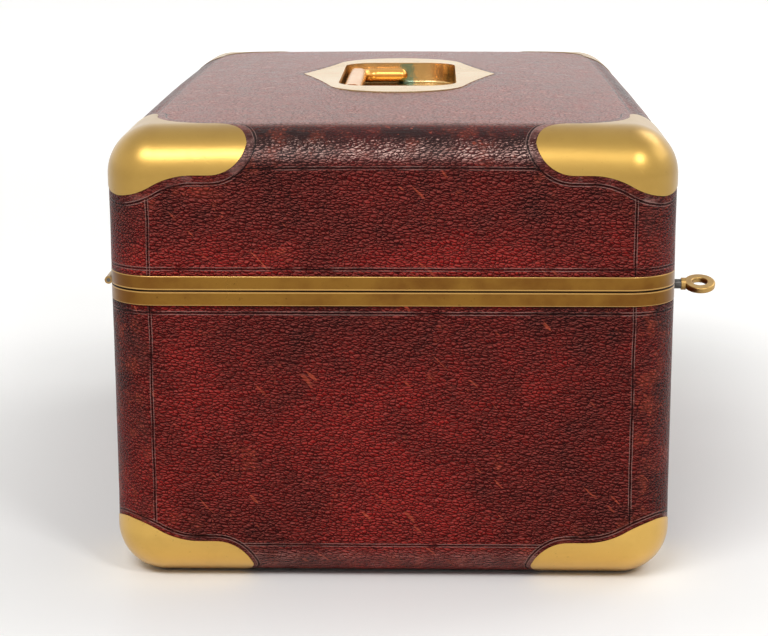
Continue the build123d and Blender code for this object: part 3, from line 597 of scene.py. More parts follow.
def lay_top(skin, last):
    """The lid's top panel: a square grid inside the last ring."""
    nx, ny = len(grid_xs), len(grid_ys)
    gx, gy = np.meshgrid(grid_xs, grid_ys, indexing="ij")
    flat = np.column_stack([gx.ravel(), gy.ravel(), crown_height(gx, gy).ravel()])
    inset = np.minimum(HALF_LENGTH - np.abs(flat[:, 0]), HALF_WIDTH - np.abs(flat[:, 1]))
    first = skin.ring(flat, np.full(len(flat), NO_LINE), EDGE_MIDDLE + inset - EDGE_RADIUS)

    def at(i, j):
        return first + i * ny + j

    for i in range(nx - 1):
        for j in range(ny - 1):
            skin.faces.append((at(i, j), at(i + 1, j), at(i + 1, j + 1), at(i, j + 1)))
    count = len(ring_points)
    arcs = ARC_STEPS - 1
    border = [at(i, 0) for i in range(nx)] + [at(nx - 1, 0)] * arcs
    border += [at(nx - 1, j) for j in range(ny)] + [at(nx - 1, ny - 1)] * arcs
    border += [at(i, ny - 1) for i in range(nx - 1, -1, -1)] + [at(0, ny - 1)] * arcs
    border += [at(0, j) for j in range(ny - 1, -1, -1)] + [at(0, 0)] * arcs
    for i in range(count):
        j = (i + 1) % count
        face = [last + i, last + j, border[j]]
        if border[i] != border[j]:
            face.append(border[i])
        skin.faces.append(tuple(face))


def lay_base(skin, last):
    """The turn-in under the case, as far as the base cover."""
    count = len(ring_points)
    outer = skin.points[-1][:, :2]
    corner_x = HALF_LENGTH - PLAN_RADIUS
    corner_y = HALF_WIDTH - PLAN_RADIUS
    straight_x = np.clip(ring_points[:, 0], -corner_x, corner_x)
    straight_y = np.clip(ring_points[:, 1], -corner_y, corner_y)
    inner_x = straight_x * (COVER_HALF_X - PLAN_RADIUS) / corner_x
    inner_y = straight_y * (COVER_HALF_Y - PLAN_RADIUS) / corner_y
    inner = np.column_stack([inner_x, inner_y]) + PLAN_RADIUS * ring_out
    before = last
    for i in range(1, BASE_STEPS + 1):
        plan = outer + (inner - outer) * i / BASE_STEPS
        run = EDGE_MIDDLE + (BASE_RUN - EDGE_RADIUS) * i / BASE_STEPS
        here = skin.ring(np.column_stack([plan, np.full(count, BASE_LEVEL)]), upright_gap(), run)
        skin.join(before, here, count, flip=True)
        before = here


print("top grid of", len(grid_xs), "by", len(grid_ys), "points")

# %% [markdown]
# ## Distance from the handle plate
# The sunk handle has a plate whose rounded ends flow in hollow curves to a blunt point in the
# middle of each long side. Like the brass corners, it is drawn for one quarter, and the other
# three quarters follow from the box's symmetry.


# %% How far a point is from the handle plate
PLATE_REACH, PLATE_WING = 78.0, 45.5
PLATE_END_RADIUS, PLATE_END_TURN = 31.0, 78


def plate_outline():
    """A quarter of the handle plate's outline, from its end to the middle of its side."""
    flow = math.radians(PLATE_END_TURN)
    centre = PLATE_REACH - PLATE_END_RADIUS
    out = np.array([math.cos(flow), math.sin(flow)])
    leave = np.array([centre + PLATE_END_RADIUS * out[0], PLATE_END_RADIUS * out[1]])
    wing = np.array([0.0, PLATE_WING])
    chord = wing - leave
    hollow = (chord @ chord) / (2 * (chord @ out))
    middle = leave + hollow * out
    start, end = (math.atan2(*(place - middle)[::-1]) for place in (leave, wing))
    start, end = (angle - 2 * math.pi if angle > 0 else angle for angle in (start, end))
    return np.vstack([
        np.array([[PLATE_REACH, -FAR]]),
        arc_points((centre, 0), PLATE_END_RADIUS, 0, PLATE_END_TURN, 40),
        arc_points(middle, hollow, math.degrees(start), math.degrees(end), 40),
        np.array([[-FAR, PLATE_WING]])])


def plate_gap(points):
    """How far points are from the handle plate's outline, below zero under the plate."""
    u, v = np.abs(points[:, 0]), np.abs(points[:, 1])
    distance = np.full(len(points), FAR)
    near = (points[:, 2] > LID_TOP - 2) & (u < 110) & (v < 80)
    distance[near] = signed_distance(u[near], v[near], plate_outline())
    return distance


print("plate outline has", len(plate_outline()), "points")

# %% [markdown]
# ## From rings to leather
# Leather hidden deep under brass is cut away, and the rest gets a slow unevenness of a tenth of a
# millimetre, calm beside the brass so that no edge lifts. Solidify gives it its thickness inwards.
# The distances are stored on its points as attributes, and they travel with the mesh.


# %% Cut, thicken and name a skin
WAVE, SINK = 0.10, 0.06
CALM_START, CALM_RUN = 3, 8


def mesh_object(name, points, faces):
    """A new smooth object in the scene, from points in metres and faces."""
    mesh = bpy.data.meshes.new(name)
    mesh.from_pydata(points, [], faces)
    mesh.update()
    for polygon in mesh.polygons:
        polygon.use_smooth = True
    made = bpy.data.objects.new(name, mesh)
    bpy.context.scene.collection.objects.link(made)
    return made


def make_plain(piece, name):
    """Replaces a piece's mesh and modifiers by the plain mesh that they make."""
    seen = piece.evaluated_get(bpy.context.evaluated_depsgraph_get())
    plain = bpy.data.meshes.new_from_object(seen)
    piece.modifiers.clear()
    piece.data = plain
    plain.name = name


def finish_skin(skin, name, is_lid):
    """Cuts the skin where brass covers it, thickens it and gives it its distances."""
    points = np.vstack(skin.points)
    gap, edge = np.concatenate(skin.gap), np.concatenate(skin.edge)
    corner = corner_distance(points, is_lid)
    plate = plate_gap(points) if is_lid else np.full(len(points), FAR)
    hidden = np.minimum(corner, plate) < -TUCK
    faces = [f for f in skin.faces if not all(hidden[i] for i in f)]
    used = sorted({i for f in faces for i in f})
    new_index = {old: new for new, old in enumerate(used)}
    faces = [tuple(new_index[i] for i in f) for f in faces]
    kept = [values[used] for values in (points, corner, gap, edge, plate)]
    points, corner, gap, edge, plate = kept
    rim = LID_BAND_TOP if is_lid else CASE_BAND_LOW
    calm = np.clip((np.minimum(corner, plate) - CALM_START) / CALM_RUN, 0, 1)
    calm *= np.clip(np.abs(points[:, 2] - rim) / 10 - 0.3, 0, 1)
    calm *= (points[:, 2] > 4)
    leather = mesh_object(name, (points * MM).tolist(), faces)
    mesh = leather.data
    for label, values in (("corner_gap", corner), ("upright_gap", gap),
                          ("edge_run", edge), ("plate_gap", plate)):
        stored = mesh.attributes.new(label, "FLOAT", "POINT")
        stored.data.foreach_set("value", values.astype(np.float32))
    normals = np.zeros(len(points) * 3)
    mesh.vertices.foreach_get("normal", normals)
    normals = normals.reshape(-1, 3)
    uneven = np.array([noise.noise(Vector(p) * 0.035) + 0.5 * noise.noise(Vector(p) * 0.09)
                       for p in points])
    moved = (points + normals * (WAVE * calm * uneven - SINK * calm)[:, None]) * MM
    under_plate = plate < -0.1
    moved[under_plate, 2] = np.minimum(moved[under_plate, 2], UNDER_PLATE * MM)
    mesh.vertices.foreach_set("co", moved.ravel())
    thick = leather.modifiers.new("thickness", "SOLIDIFY")
    thick.thickness = LEATHER * MM
    thick.offset = -1.0
    make_plain(leather, name)
    for polygon in leather.data.polygons:
        polygon.use_smooth = True
    return leather


def add_piece(piece, body, slot, material, *replaced):
    """Gives a finished piece its body, its material and the nodes it stands for; slot is not used.
    """
    piece.data.materials.clear()
    piece.data.materials.append(material)
    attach(piece, body)
    if replaced:
        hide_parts(*replaced)
    return piece


lid_skin_net = Skin()
lay_top(lid_skin_net, wall_and_edge(lid_skin_net, True))
lid_skin = finish_skin(lid_skin_net, "lid_leather_skin", True)
case_skin_net = Skin()
lay_base(case_skin_net, wall_and_edge(case_skin_net, False))
case_skin = finish_skin(case_skin_net, "case_leather_skin", False)
print("skins of", len(lid_skin.data.polygons), "and", len(case_skin.data.polygons), "faces")

# %% [markdown]
# ## The leather's colours
# The leather is reddest where the dye lay thick, and its creases are painted darkest, as shade.
# Hands rub the tops of the grain to a pale orange, most of all on edges and beside the brass. The
# burnished margins beside the brass are darker and keep about half of their grain. The crest and
# glint tones are painted highlights, and the handled tone on the lid's top is partly handling and
# partly painted sheen. The tooled grooves get a painted shade and the foot a painted shadow.

# %% Colours of the leather
DARK = (0.020, 0.0030, 0.0028)
MAROON = (0.105, 0.0054, 0.0046)
CRIMSON = (0.275, 0.0105, 0.0090)
RUBBED = (0.48, 0.085, 0.042)
# painted highlight colour for the pebbles' lit sides
CREST_HIGHLIGHT = (0.46, 0.100, 0.080)
# painted highlight colour for glints on the rounded edge
GLINT = (0.72, 0.46, 0.40)
# paler tone for the lid's top, partly handling and partly a painted sheen
HANDLED_AND_SHEEN = (0.40, 0.120, 0.085)
SOILED = (0.115, 0.036, 0.030)
CHALKY = (0.40, 0.23, 0.20)
BURNISHED = (0.060, 0.0110, 0.0100)
GROOVE_SHADE = (0.010, 0.003, 0.003)
FOOT_SHADOW = (0.006, 0.002, 0.002)
print("leather from", DARK, "to", GLINT)

# %% [markdown]
# ## Where the tooled lines run
# Lines are tooled beside the brass corners and the plate, along the rims, on both sides of the
# rounded edge, and down the faces near each upright edge. The distances kept in the skin place
# every one of them. The upright lines were drawn by hand and wander a little.


# %% Distances and tooled lines
def skin_distances(tree, place, is_lid):
    """The distances kept in a skin and the height above the floor, in millimetres."""
    found = {}
    for label in ("corner_gap", "upright_gap", "edge_run", "plate_gap"):
        found[label] = add(tree, "ShaderNodeAttribute", attribute_name=label).outputs["Fac"]
    found["height"] = calc(tree, "MULTIPLY", coordinate(tree, place, "Z"), 1000.0)
    rim_level = LID_BAND_TOP if is_lid else CASE_BAND_LOW
    found["rim_gap"] = calc(tree, "ABSOLUTE", calc(tree, "SUBTRACT", found["height"], rim_level))
    found["corner_line"] = 3.6 if is_lid else 2.2
    return found


def leather_lines(tree, place, found):
    """The grooves and ridges of every tooled line, and where the grained wall is."""
    corner, edge, line = found["corner_gap"], found["edge_run"], found["corner_line"]
    outside = step(tree, corner, line - 0.1, line + 0.4)
    on_wall = step(tree, edge, -11.2, -12.2)
    on_upright = calc(tree, "MULTIPLY", outside, on_wall)
    wander = calc(tree, "MULTIPLY_ADD", noise_at(tree, place, 70.0, 1.0), 0.9, -0.45)
    groove, ridge = 0.0, 0.0
    for distance, width, mask in (
            (calc(tree, "SUBTRACT", corner, line), 0.36, None),
            (calc(tree, "SUBTRACT", calc(tree, "ABSOLUTE", edge), 11.6), 0.36, outside),
            (calc(tree, "ADD", found["upright_gap"], wander), 0.34, on_upright),
            (calc(tree, "SUBTRACT", found["rim_gap"], 2.9), 0.36, None),
            (calc(tree, "SUBTRACT", found["plate_gap"], 2.0), 0.30, None)):
        made = use_group(tree, line_group, {"Distance": distance, "Half Width": width})
        new_groove, new_ridge = made["Groove"], made["Ridge"]
        if mask is not None:
            new_groove = calc(tree, "MULTIPLY", new_groove, mask)
            new_ridge = calc(tree, "MULTIPLY", new_ridge, mask)
        groove = calc(tree, "MAXIMUM", groove, new_groove)
        ridge = calc(tree, "MAXIMUM", ridge, new_ridge)
    return groove, ridge, on_wall


print("tooled lines ready")

# %% [markdown]
# ## The dyed ground
# The dye lies in clouds, from maroon to crimson, over a dark ground. The lid's end face is redder
# low down, and the case is darker just under the rim. Two noises of different size make the
# clouds, and the height above the floor shifts them.


# %% The dyed ground
def leather_ground(tree, place, height, crease, is_lid):
    """The dye's clouds with painted shade in the creases, and the smaller noise for use elsewhere.
    """
    broad = noise_at(tree, place, 15.0, 3.0, 0.55)
    medium = noise_at(tree, place, 95.0, 3.0, 0.6)
    mottle = calc(tree, "MULTIPLY_ADD", broad, 1.05, -0.10)
    mottle = calc(tree, "MULTIPLY_ADD", medium, 0.50, mottle)
    if is_lid:
        low_red = step(tree, height, 156.0, 134.0)
        mottle = calc(tree, "MULTIPLY_ADD", low_red, 0.26, calc(tree, "SUBTRACT", mottle, 0.08))
    else:
        top_dark = step(tree, height, 92.0, 112.0)
        mottle = calc(tree, "MULTIPLY_ADD", top_dark, -0.07, mottle)
    colour = blend_colour(tree, step(tree, mottle, 0.42, 0.66), DARK, MAROON)
    colour = blend_colour(tree, step(tree, mottle, 0.60, 0.95), colour, CRIMSON)
    # painted shade in the creases of the grain
    return blend_colour(tree, calc(tree, "MULTIPLY", crease, 0.80), colour, DARK), medium


print("ground from", DARK, "by", MAROON, "to", CRIMSON)

# %% [markdown]
# ## Painted highlight and shade on the pebbles
# Each pebble of the grain is painted paler on the side that leans towards UPWARD, a painted
# highlight, and darker on the side below it, a painted shade. How far a pebble's surface leans
# from the smooth skin is the bumped normal less the plain one. Its share in a fixed direction of
# the box tells the two sides apart, and it doesn't change with the camera. On the lid's top the
# sides that lean towards SIDEWAYS get the painted highlight too.


# %% Painted highlight and shade on the pebbles
UPWARD = (-0.25, 0.35, 0.9)
SIDEWAYS = (-0.9, 0.35, 0.0)


def pebble_highlight_and_shade(tree, height, edge, is_lid):
    """Masks of the pebbles' painted highlight, of their painted shade, and of the band on the
    edge.
    """
    pebbles = bump(tree, height, 0.00085)
    smooth = add(tree, "ShaderNodeNewGeometry").outputs["Normal"]
    lean = vector_calc(tree, "SUBTRACT", pebbles, smooth)
    upward = vector_calc(tree, "DOT_PRODUCT", lean, UPWARD)
    band = calc(tree, "MULTIPLY", step(tree, edge, -11.0, -5.0), step(tree, edge, 7.0, 1.0))
    upward = calc(tree, "MULTIPLY", upward, calc(tree, "MULTIPLY_ADD", band, 1.1, 1.0))
    # painted highlight on the pebbles' sides that lean towards UPWARD
    pale = step(tree, upward, 0.16, 0.42)
    sideways = None
    if is_lid:
        sideways = vector_calc(tree, "DOT_PRODUCT", lean, SIDEWAYS)
        # painted highlight on the lid's top, on the pebbles' sides that lean towards SIDEWAYS
        on_top = step(tree, edge, 5.0, 12.0)
        on_top = calc(tree, "MULTIPLY", step(tree, sideways, 0.12, 0.40), on_top)
        pale = calc(tree, "MAXIMUM", pale, on_top)
    # painted shade on the pebbles' sides that lean away from UPWARD
    dark = calc(tree, "MULTIPLY", step(tree, upward, 0.0, -0.28), 0.58)
    return pale, dark, band, sideways


print("pebbles are pale towards", UPWARD)

# %% [markdown]
# ## Wear
# The leather is rubbed most where it turns over an edge and beside the brass, in blotches there
# and in loose patches elsewhere, and always more on the pebbles' tops than between them.


# %% Where the leather is worn
def leather_wear(tree, place, found, grain, on_wall, is_lid):
    """Masks of wear, of the rounded edge and of the turn towards the upright edges."""
    rubs = use_group(tree, rub_group, {"Vector": place, "Size": 55.0, "Amount": 0.30})
    rounding = step(tree, calc(tree, "ABSOLUTE", found["edge_run"]), 15.0, 4.0)
    turning = calc(tree, "MULTIPLY", step(tree, found["upright_gap"], 0.5, -4.0), on_wall)
    plate_edge = calc(tree, "ADD", found["plate_gap"], 2.4)
    beside = step(tree, calc(tree, "MINIMUM", found["corner_gap"], plate_edge), 13.0, 4.0)
    high_wear = calc(tree, "MAXIMUM", calc(tree, "MULTIPLY", rounding, 0.48),
                     calc(tree, "MULTIPLY", turning, 0.22 if is_lid else 0.60))
    high_wear = calc(tree, "MAXIMUM", high_wear, calc(tree, "MULTIPLY", beside, 0.55))
    blotch = step(tree, noise_at(tree, place, 120.0, 4.0, 0.68), 0.50, 0.64)
    patch = calc(tree, "MULTIPLY", blotch, high_wear)
    worn = calc(tree, "MAXIMUM", calc(tree, "MULTIPLY", rubs["Rub"], 0.85), patch)
    tips = step(tree, grain["Height"], 0.42, 0.80)
    worn = calc(tree, "MULTIPLY", worn, calc(tree, "MULTIPLY_ADD", tips, 0.75, 0.25))
    worn = calc(tree, "MAXIMUM", worn, calc(tree, "MULTIPLY", rubs["Scratch"], 0.55))
    return worn, rounding, turning


def leather_dirt(tree, place, colour, found, medium, margin, turning, is_lid):
    """Soiling near the upright edges, burnished margins and the scuffs on them."""
    grey = step(tree, noise_at(tree, place, 75.0, 4.0, 0.62), 0.50, 0.66)
    soiled = calc(tree, "MULTIPLY", grey, calc(tree, "MULTIPLY", turning, 0.22))
    colour = blend_colour(tree, soiled, colour, SOILED)
    colour = blend_colour(tree, calc(tree, "MULTIPLY", margin, 0.38), colour, BURNISHED)
    to_front = step(tree, coordinate(tree, place, "Y"), -0.04, -0.07)
    front_scuff = calc(tree, "MULTIPLY_ADD", to_front, 0.40, 0.24 if is_lid else 0.08)
    scuffed = calc(tree, "MULTIPLY", calc(tree, "MULTIPLY", grey, margin), front_scuff)
    return blend_colour(tree, scuffed, colour, CHALKY)


print("wear masks ready")

# %% [markdown]
# ## The leather's material
# Everything comes together here, layer by layer: dye with painted shade in the creases, painted
# highlight and shade on the pebbles, wear, painted glints on the rounded edge, handling and
# painted sheen on the lid's top, dirt, and last the tooled lines, with painted shade in their
# grooves and ridges paled partly by rubbing and partly as painted highlight, and a painted shadow
# at the foot.
# The sheen of hand polish is a thin coat on the edge and on the lid's top.


# %% Leather material
def leather_colour(tree, place, found, grain, masks, is_lid):
    """The leather's colour from all its masks, and how worn it is."""
    groove, ridge, on_wall, margin, sides = masks
    pale, dark, band, _ = sides
    colour, medium = leather_ground(tree, place, found["height"], grain["Crease"], is_lid)
    # painted shade on the pebbles' sides that lean away from UPWARD
    colour = blend_colour(tree, dark, colour, DARK)
    # painted highlight on the pebbles' sides that lean towards UPWARD
    crest_highlights = calc(tree, "MULTIPLY", pale, 0.34 if is_lid else 0.30)
    colour = blend_colour(tree, crest_highlights, colour, CREST_HIGHLIGHT)
    worn, rounding, turning = leather_wear(tree, place, found, grain, on_wall, is_lid)
    colour = blend_colour(tree, worn, colour, RUBBED)
    # painted highlight: glints on the pebbles of the rounded edge
    patchy = calc(tree, "MULTIPLY_ADD", step(tree, medium, 0.42, 0.60), 0.6, 0.4)
    glints = calc(tree, "MULTIPLY", calc(tree, "MULTIPLY", pale, band), patchy)
    glints = calc(tree, "MULTIPLY", glints, 0.95 if is_lid else 0.20)
    colour = blend_colour(tree, glints, colour, GLINT)
    if is_lid:
        # the lid's top is made paler, partly as handling and partly as a painted sheen
        clouds = calc(tree, "MULTIPLY_ADD", step(tree, medium, 0.3, 0.7), 0.25, 0.40)
        handled_and_sheen = calc(tree, "MULTIPLY", step(tree, found["edge_run"], 8.0, 13.0), clouds)
        not_deep = calc(tree, "MULTIPLY_ADD", grain["Crease"], -0.75, 1.0)
        colour = blend_colour(tree, calc(tree, "MULTIPLY", handled_and_sheen, not_deep), colour, HANDLED_AND_SHEEN)
    colour = leather_dirt(tree, place, colour, found, medium, margin, turning, is_lid)
    # painted shade in the grooves of the tooled lines
    colour = blend_colour(tree, calc(tree, "MULTIPLY", groove, 0.88), colour, GROOVE_SHADE)
    # the ridges are made paler, partly as rubbing and partly as a painted highlight
    shown = calc(tree, "MULTIPLY", step(tree, medium, 0.35, 0.6), 0.70)
    colour = blend_colour(tree, calc(tree, "MULTIPLY", ridge, shown), colour, CHALKY)
    # painted shadow: the leather darkens to near black below about 1.8 mm
    colour = blend_colour(tree, step(tree, found["height"], 1.8, 0.6), colour, FOOT_SHADOW)
    return colour, medium, worn, rounding


def leather_polish(tree, edge, crease, rounding, sideways, is_lid):
    """The weight of the thin coat that hands have polished up."""
    polish = calc(tree, "MULTIPLY", rounding, 0.20 if is_lid else 0.08)
    if is_lid:
        tops = calc(tree, "MULTIPLY_ADD", step(tree, sideways, -0.25, 0.25), 0.55, 0.25)
        tops = calc(tree, "MULTIPLY", tops, calc(tree, "MULTIPLY_ADD", crease, -0.85, 1.0))
        tops = calc(tree, "MULTIPLY", tops, step(tree, edge, 8.0, 13.0))
        polish = calc(tree, "MAXIMUM", polish, tops)
    return polish


def leather_material(name, is_lid):
    """Burgundy pebbled leather with tooled lines, wear and polish."""
    material, tree, shader, place = start_material(name, 0.30, specular_ior_level=0.04,
                                                   coat_roughness=0.38)
    found = skin_distances(tree, place, is_lid)
    groove, ridge, on_wall = leather_lines(tree, place, found)
    stretched = mapped(tree, place, (1.0, 2.2, 1.0), (0.2, 0.0, 0.25), "TEXTURE")
    grain = use_group(tree, grain_group, {"Vector": stretched, "Cells": 930.0, "Warp": 0.0016})
    past_line = calc(tree, "SUBTRACT", found["corner_gap"], found["corner_line"])
    past_plate = calc(tree, "SUBTRACT", found["plate_gap"], 2.0)
    margin = step(tree, calc(tree, "MINIMUM", past_line, past_plate), 0.1, -0.5)
    sides = pebble_highlight_and_shade(tree, grain["Height"], found["edge_run"], is_lid)

    masks = (groove, ridge, on_wall, margin, sides)
    colour, medium, worn, rounding = leather_colour(tree, place, found, grain, masks, is_lid)
    tree.links.new(colour, shader["Base Color"])
    rough = calc(tree, "MULTIPLY_ADD", medium, 0.20, 0.14)
    tree.links.new(calc(tree, "MULTIPLY_ADD", worn, 0.20, rough), shader["Roughness"])
    polish = leather_polish(tree, found["edge_run"], grain["Crease"], rounding, sides[3], is_lid)
    tree.links.new(polish, shader["Coat Weight"])

    keep_grain = calc(tree, "MULTIPLY_ADD", margin, -0.5, 1.0)
    relief = calc(tree, "MULTIPLY", grain["Height"], keep_grain)
    relief = calc(tree, "MULTIPLY_ADD", noise_at(tree, place, 2600.0, 1.0), 0.10, relief)
    relief = calc(tree, "MULTIPLY_ADD", groove, -1.1, relief)
    relief = calc(tree, "MULTIPLY_ADD", ridge, 0.35, relief)
    tree.links.new(bump(tree, relief, 0.00072, 1.0), shader["Normal"])
    return material


lid_finish = leather_material("lid_leather_finish", True)
case_finish = leather_material("case_leather_finish", False)
add_piece(lid_skin, "lid", "leather", lid_finish, "lid_leather")
add_piece(case_skin, "case", "leather", case_finish, "case_leather")
print("leather laid on the lid and the case")

# %% [markdown]
# ## Brass, steel and wood
# All the brass pieces keep their solids. Each brass has its own age, so one function makes them
# from a colour, a tarnish colour and a roughness. Scratches come from a shared group, and the bump
# adds slow clouds and fine brushing.


# %% Brass and steel
def brass_material(name, bright, dull, roughness, tarnish=0.4, extra=None, coat=0.0):
    """Brass with clouds and pits of tarnish, and an extra effect of its own if it has one."""
    material, tree, shader, place = start_material(name, roughness, 1.0, coat_weight=coat,
                                                   coat_roughness=0.30)
    cloud = noise_at(tree, place, 38.0, 4.0, 0.6)
    spots = noise_at(tree, place, 420.0, 3.0, 0.6)
    marks = use_group(tree, rub_group, {"Vector": place, "Size": 120.0, "Amount": 0.28})
    aged = calc(tree, "MULTIPLY", step(tree, cloud, 0.38, 0.68), tarnish)
    colour = blend_colour(tree, aged, bright, dull)
    pits = calc(tree, "MULTIPLY", step(tree, spots, 0.66, 0.74), 0.5 * tarnish)
    colour = blend_colour(tree, pits, colour, tuple(0.35 * c for c in dull))
    if extra is not None:
        colour = extra(tree, place, colour)
    tree.links.new(colour, shader["Base Color"])
    rough = calc(tree, "MULTIPLY_ADD", cloud, 0.16, roughness - 0.08)
    rough = calc(tree, "MULTIPLY_ADD", marks["Scratch"], 0.12, rough)
    tree.links.new(rough, shader["Roughness"])
    brushed = noise_at(tree, place, 1700.0, 2.0, 0.5)
    relief = calc(tree, "MULTIPLY_ADD", brushed, 0.22, cloud)
    relief = calc(tree, "MULTIPLY_ADD", marks["Scratch"], -0.5, relief)
    tree.links.new(bump(tree, relief, 0.00004, 0.9), shader["Normal"])
    return material


def metal_material(name, colour, roughness):
    """Plain steel with cloudy stains and fine lines from the file."""
    material, tree, shader, place = start_material(name, roughness, 1.0)
    cloud = noise_at(tree, place, 180.0, 4.0, 0.6)
    stained = tuple(0.45 * c for c in colour)
    shade = blend_colour(tree, step(tree, cloud, 0.35, 0.7), colour, stained)
    tree.links.new(shade, shader["Base Color"])
    tree.links.new(calc(tree, "MULTIPLY_ADD", cloud, 0.2, roughness - 0.1), shader["Roughness"])
    lines = mapped(tree, place, (1.0, 0.08, 1.0))
    tree.links.new(bump(tree, noise_at(tree, lines, 2500.0, 2.0), 0.00003, 0.8), shader["Normal"])
    return material


print("metal helpers ready")

# %% [markdown]
# ## What sets single brasses apart
# Three brasses have something of their own: green salts in the handle's well, an olive cast on
# the lid's corners with a painted shadow at the feet of the corners below, and painted highlights
# on the edges of the two bands with painted shade in the seam between them. Each is a function
# that takes the colour so far and gives back the changed one.


# %% Effects of single brasses
ARM_END_X, ARM_END_Y = 0.0505, 0.003
OLIVE = (0.58, 0.57, 0.50)
SEAM_LEVEL = 123.1


def verdigris(tree, place, colour):
    """Blue-green salts round the ends of the bail's arms, down in the well."""
    x, y, z = add(tree, "ShaderNodeSeparateXYZ", {0: place}).outputs
    end = calc(tree, "ABSOLUTE", calc(tree, "SUBTRACT", calc(tree, "ABSOLUTE", x), ARM_END_X))
    near = calc(tree, "ADD", end, calc(tree, "ABSOLUTE", calc(tree, "ADD", y, ARM_END_Y)))
    near = calc(tree, "MULTIPLY_ADD", noise_at(tree, place, 500.0, 3.0, 0.6), -0.010, near)
    in_well = step(tree, z, 0.1921, 0.1915)
    mask = calc(tree, "MULTIPLY", step(tree, near, 0.0035, 0.0005), in_well)
    return blend_colour(tree, calc(tree, "MULTIPLY", mask, 0.8), colour, (0.16, 0.30, 0.24))


def olive_lid_corners_and_foot_shadow(tree, place, colour):
    """The lid's corners have gone more olive than those at the base; the feet get a painted
    shadow.
    """
    level = coordinate(tree, place, "Z")
    olive = blend_colour(tree, 1.0, colour, OLIVE, "MULTIPLY")
    colour = blend_colour(tree, step(tree, level, 0.08, 0.12), colour, olive)
    # painted shadow: the corners darken to near black below about 1.4 mm
    return blend_colour(tree, step(tree, level, 0.0014, 0.0004), colour, (0.02, 0.012, 0.006))


def band_edge_highlight_and_seam_shade(tree, place, colour):
    """Painted highlights on the bands' thin edges, and painted shade in the seam between them."""
    level = coordinate(tree, place, "Z")
    from_seam = calc(tree, "ABSOLUTE", calc(tree, "MULTIPLY_ADD", level, 1000.0, -SEAM_LEVEL))
    edge = step(tree, calc(tree, "ABSOLUTE", calc(tree, "SUBTRACT", from_seam, 5.95)), 0.45, 0.1)
    lip = step(tree, calc(tree, "ABSOLUTE", calc(tree, "SUBTRACT", from_seam, 0.65)), 0.4, 0.1)
    rubbed_and_highlight = calc(tree, "MULTIPLY", calc(tree, "MAXIMUM", edge, lip), 0.65)
    # painted highlight on the thin edges of the bands
    colour = blend_colour(tree, rubbed_and_highlight, colour, (0.55, 0.33, 0.11))
    # painted shade in the seam between the bands
    return blend_colour(tree, step(tree, from_seam, 0.5, 0.25), colour, (0.02, 0.008, 0.004))


print("effects of single brasses ready")

# %% [markdown]
# ## The metals of this box
# The corners are a yellow brass, the bands a red one gone nearly brown, and the plate a pale one
# worn by hands. The hidden pieces, which nobody polishes, are duller. Each line gives the bright
# and the tarnished colour, the roughness and the share of tarnish.


# %% The metals of this box
corner_brass = brass_material("corner_brass_finish", (0.69, 0.425, 0.100), (0.52, 0.30, 0.062),
                              0.34, extra=olive_lid_corners_and_foot_shadow, coat=0.40)
rim_brass = brass_material("rim_brass_finish", (0.205, 0.100, 0.018), (0.135, 0.054, 0.011),
                           0.30, 0.9, extra=band_edge_highlight_and_seam_shade)
plate_brass = brass_material("plate_brass_finish", (0.61, 0.43, 0.205), (0.54, 0.335, 0.115),
                             0.26, 0.3, extra=verdigris)
bail_brass = brass_material("bail_brass_finish", (0.68, 0.34, 0.085), (0.48, 0.23, 0.055),
                            0.24, 0.3)
hinge_brass = brass_material("hinge_brass_finish", (0.38, 0.24, 0.09), (0.20, 0.12, 0.05),
                             0.36, 0.7)
lock_brass = brass_material("lock_brass_finish", (0.66, 0.46, 0.17), (0.45, 0.29, 0.10),
                            0.30, 0.4)
key_brass = brass_material("key_brass_finish", (0.48, 0.30, 0.10), (0.28, 0.16, 0.06), 0.32, 0.7)
screw_brass = brass_material("screw_brass_finish", (0.50, 0.34, 0.13), (0.30, 0.19, 0.07),
                             0.34, 0.6)
key_steel = metal_material("key_steel_finish", (0.13, 0.125, 0.12), 0.36)
lock_steel = metal_material("lock_steel_finish", (0.36, 0.35, 0.34), 0.34)
print("made the metals")

# %% [markdown]
# ## Wood and the covered base
# The carcass is a plain red-brown wood. Noise stretched along the boards gives its streaks. The
# flat cover under the base has the same grain as the skins, but it is plain, dull and scuffed,
# because the box stands on it.


# %% Wood and covered base
def wood_material():
    """Plain wood with streaks along the box's length."""
    material, tree, shader, place = start_material("carcass_wood_finish", 0.62)
    streak = noise_at(tree, mapped(tree, place, (0.09, 1.0, 1.0)), 340.0, 4.0, 0.6)
    colour = blend_colour(tree, step(tree, streak, 0.3, 0.7), (0.22, 0.115, 0.055),
                          (0.38, 0.22, 0.12))
    tree.links.new(colour, shader["Base Color"])
    tree.links.new(bump(tree, streak, 0.0002, 0.4), shader["Normal"])
    return material


def base_material():
    """Dull scuffed leather for the underside."""
    material, tree, shader, place = start_material("base_leather_finish", 0.55)
    grain = use_group(tree, grain_group, {"Vector": place, "Cells": 1100.0, "Warp": 0.0008})
    rubs = use_group(tree, rub_group, {"Vector": place, "Size": 45.0, "Amount": 0.45})
    # painted shade in the creases of the grain
    colour = blend_colour(tree, grain["Crease"], (0.075, 0.017, 0.015), (0.03, 0.008, 0.007))
    rubbed_and_highlight = calc(tree, "MULTIPLY", rubs["Rub"], 0.6)
    colour = blend_colour(tree, rubbed_and_highlight, colour, (0.22, 0.09, 0.07))
    tree.links.new(colour, shader["Base Color"])
    tree.links.new(bump(tree, grain["Height"], 0.0002, 0.7), shader["Normal"])
    return material


carcass_wood = wood_material()
base_leather = base_material()
print("made wood and base leather")

# %% [markdown]
# ## Velvet, silk and ribbon
# The inside doesn't show in the photograph, so it has what such boxes have: wine-red velvet on
# the walls and the tray, and padded silk under the lid and on the floor. Velvet gets its look
# from sheen, which is light caught by the pile, and from patches where the pile lies flat.


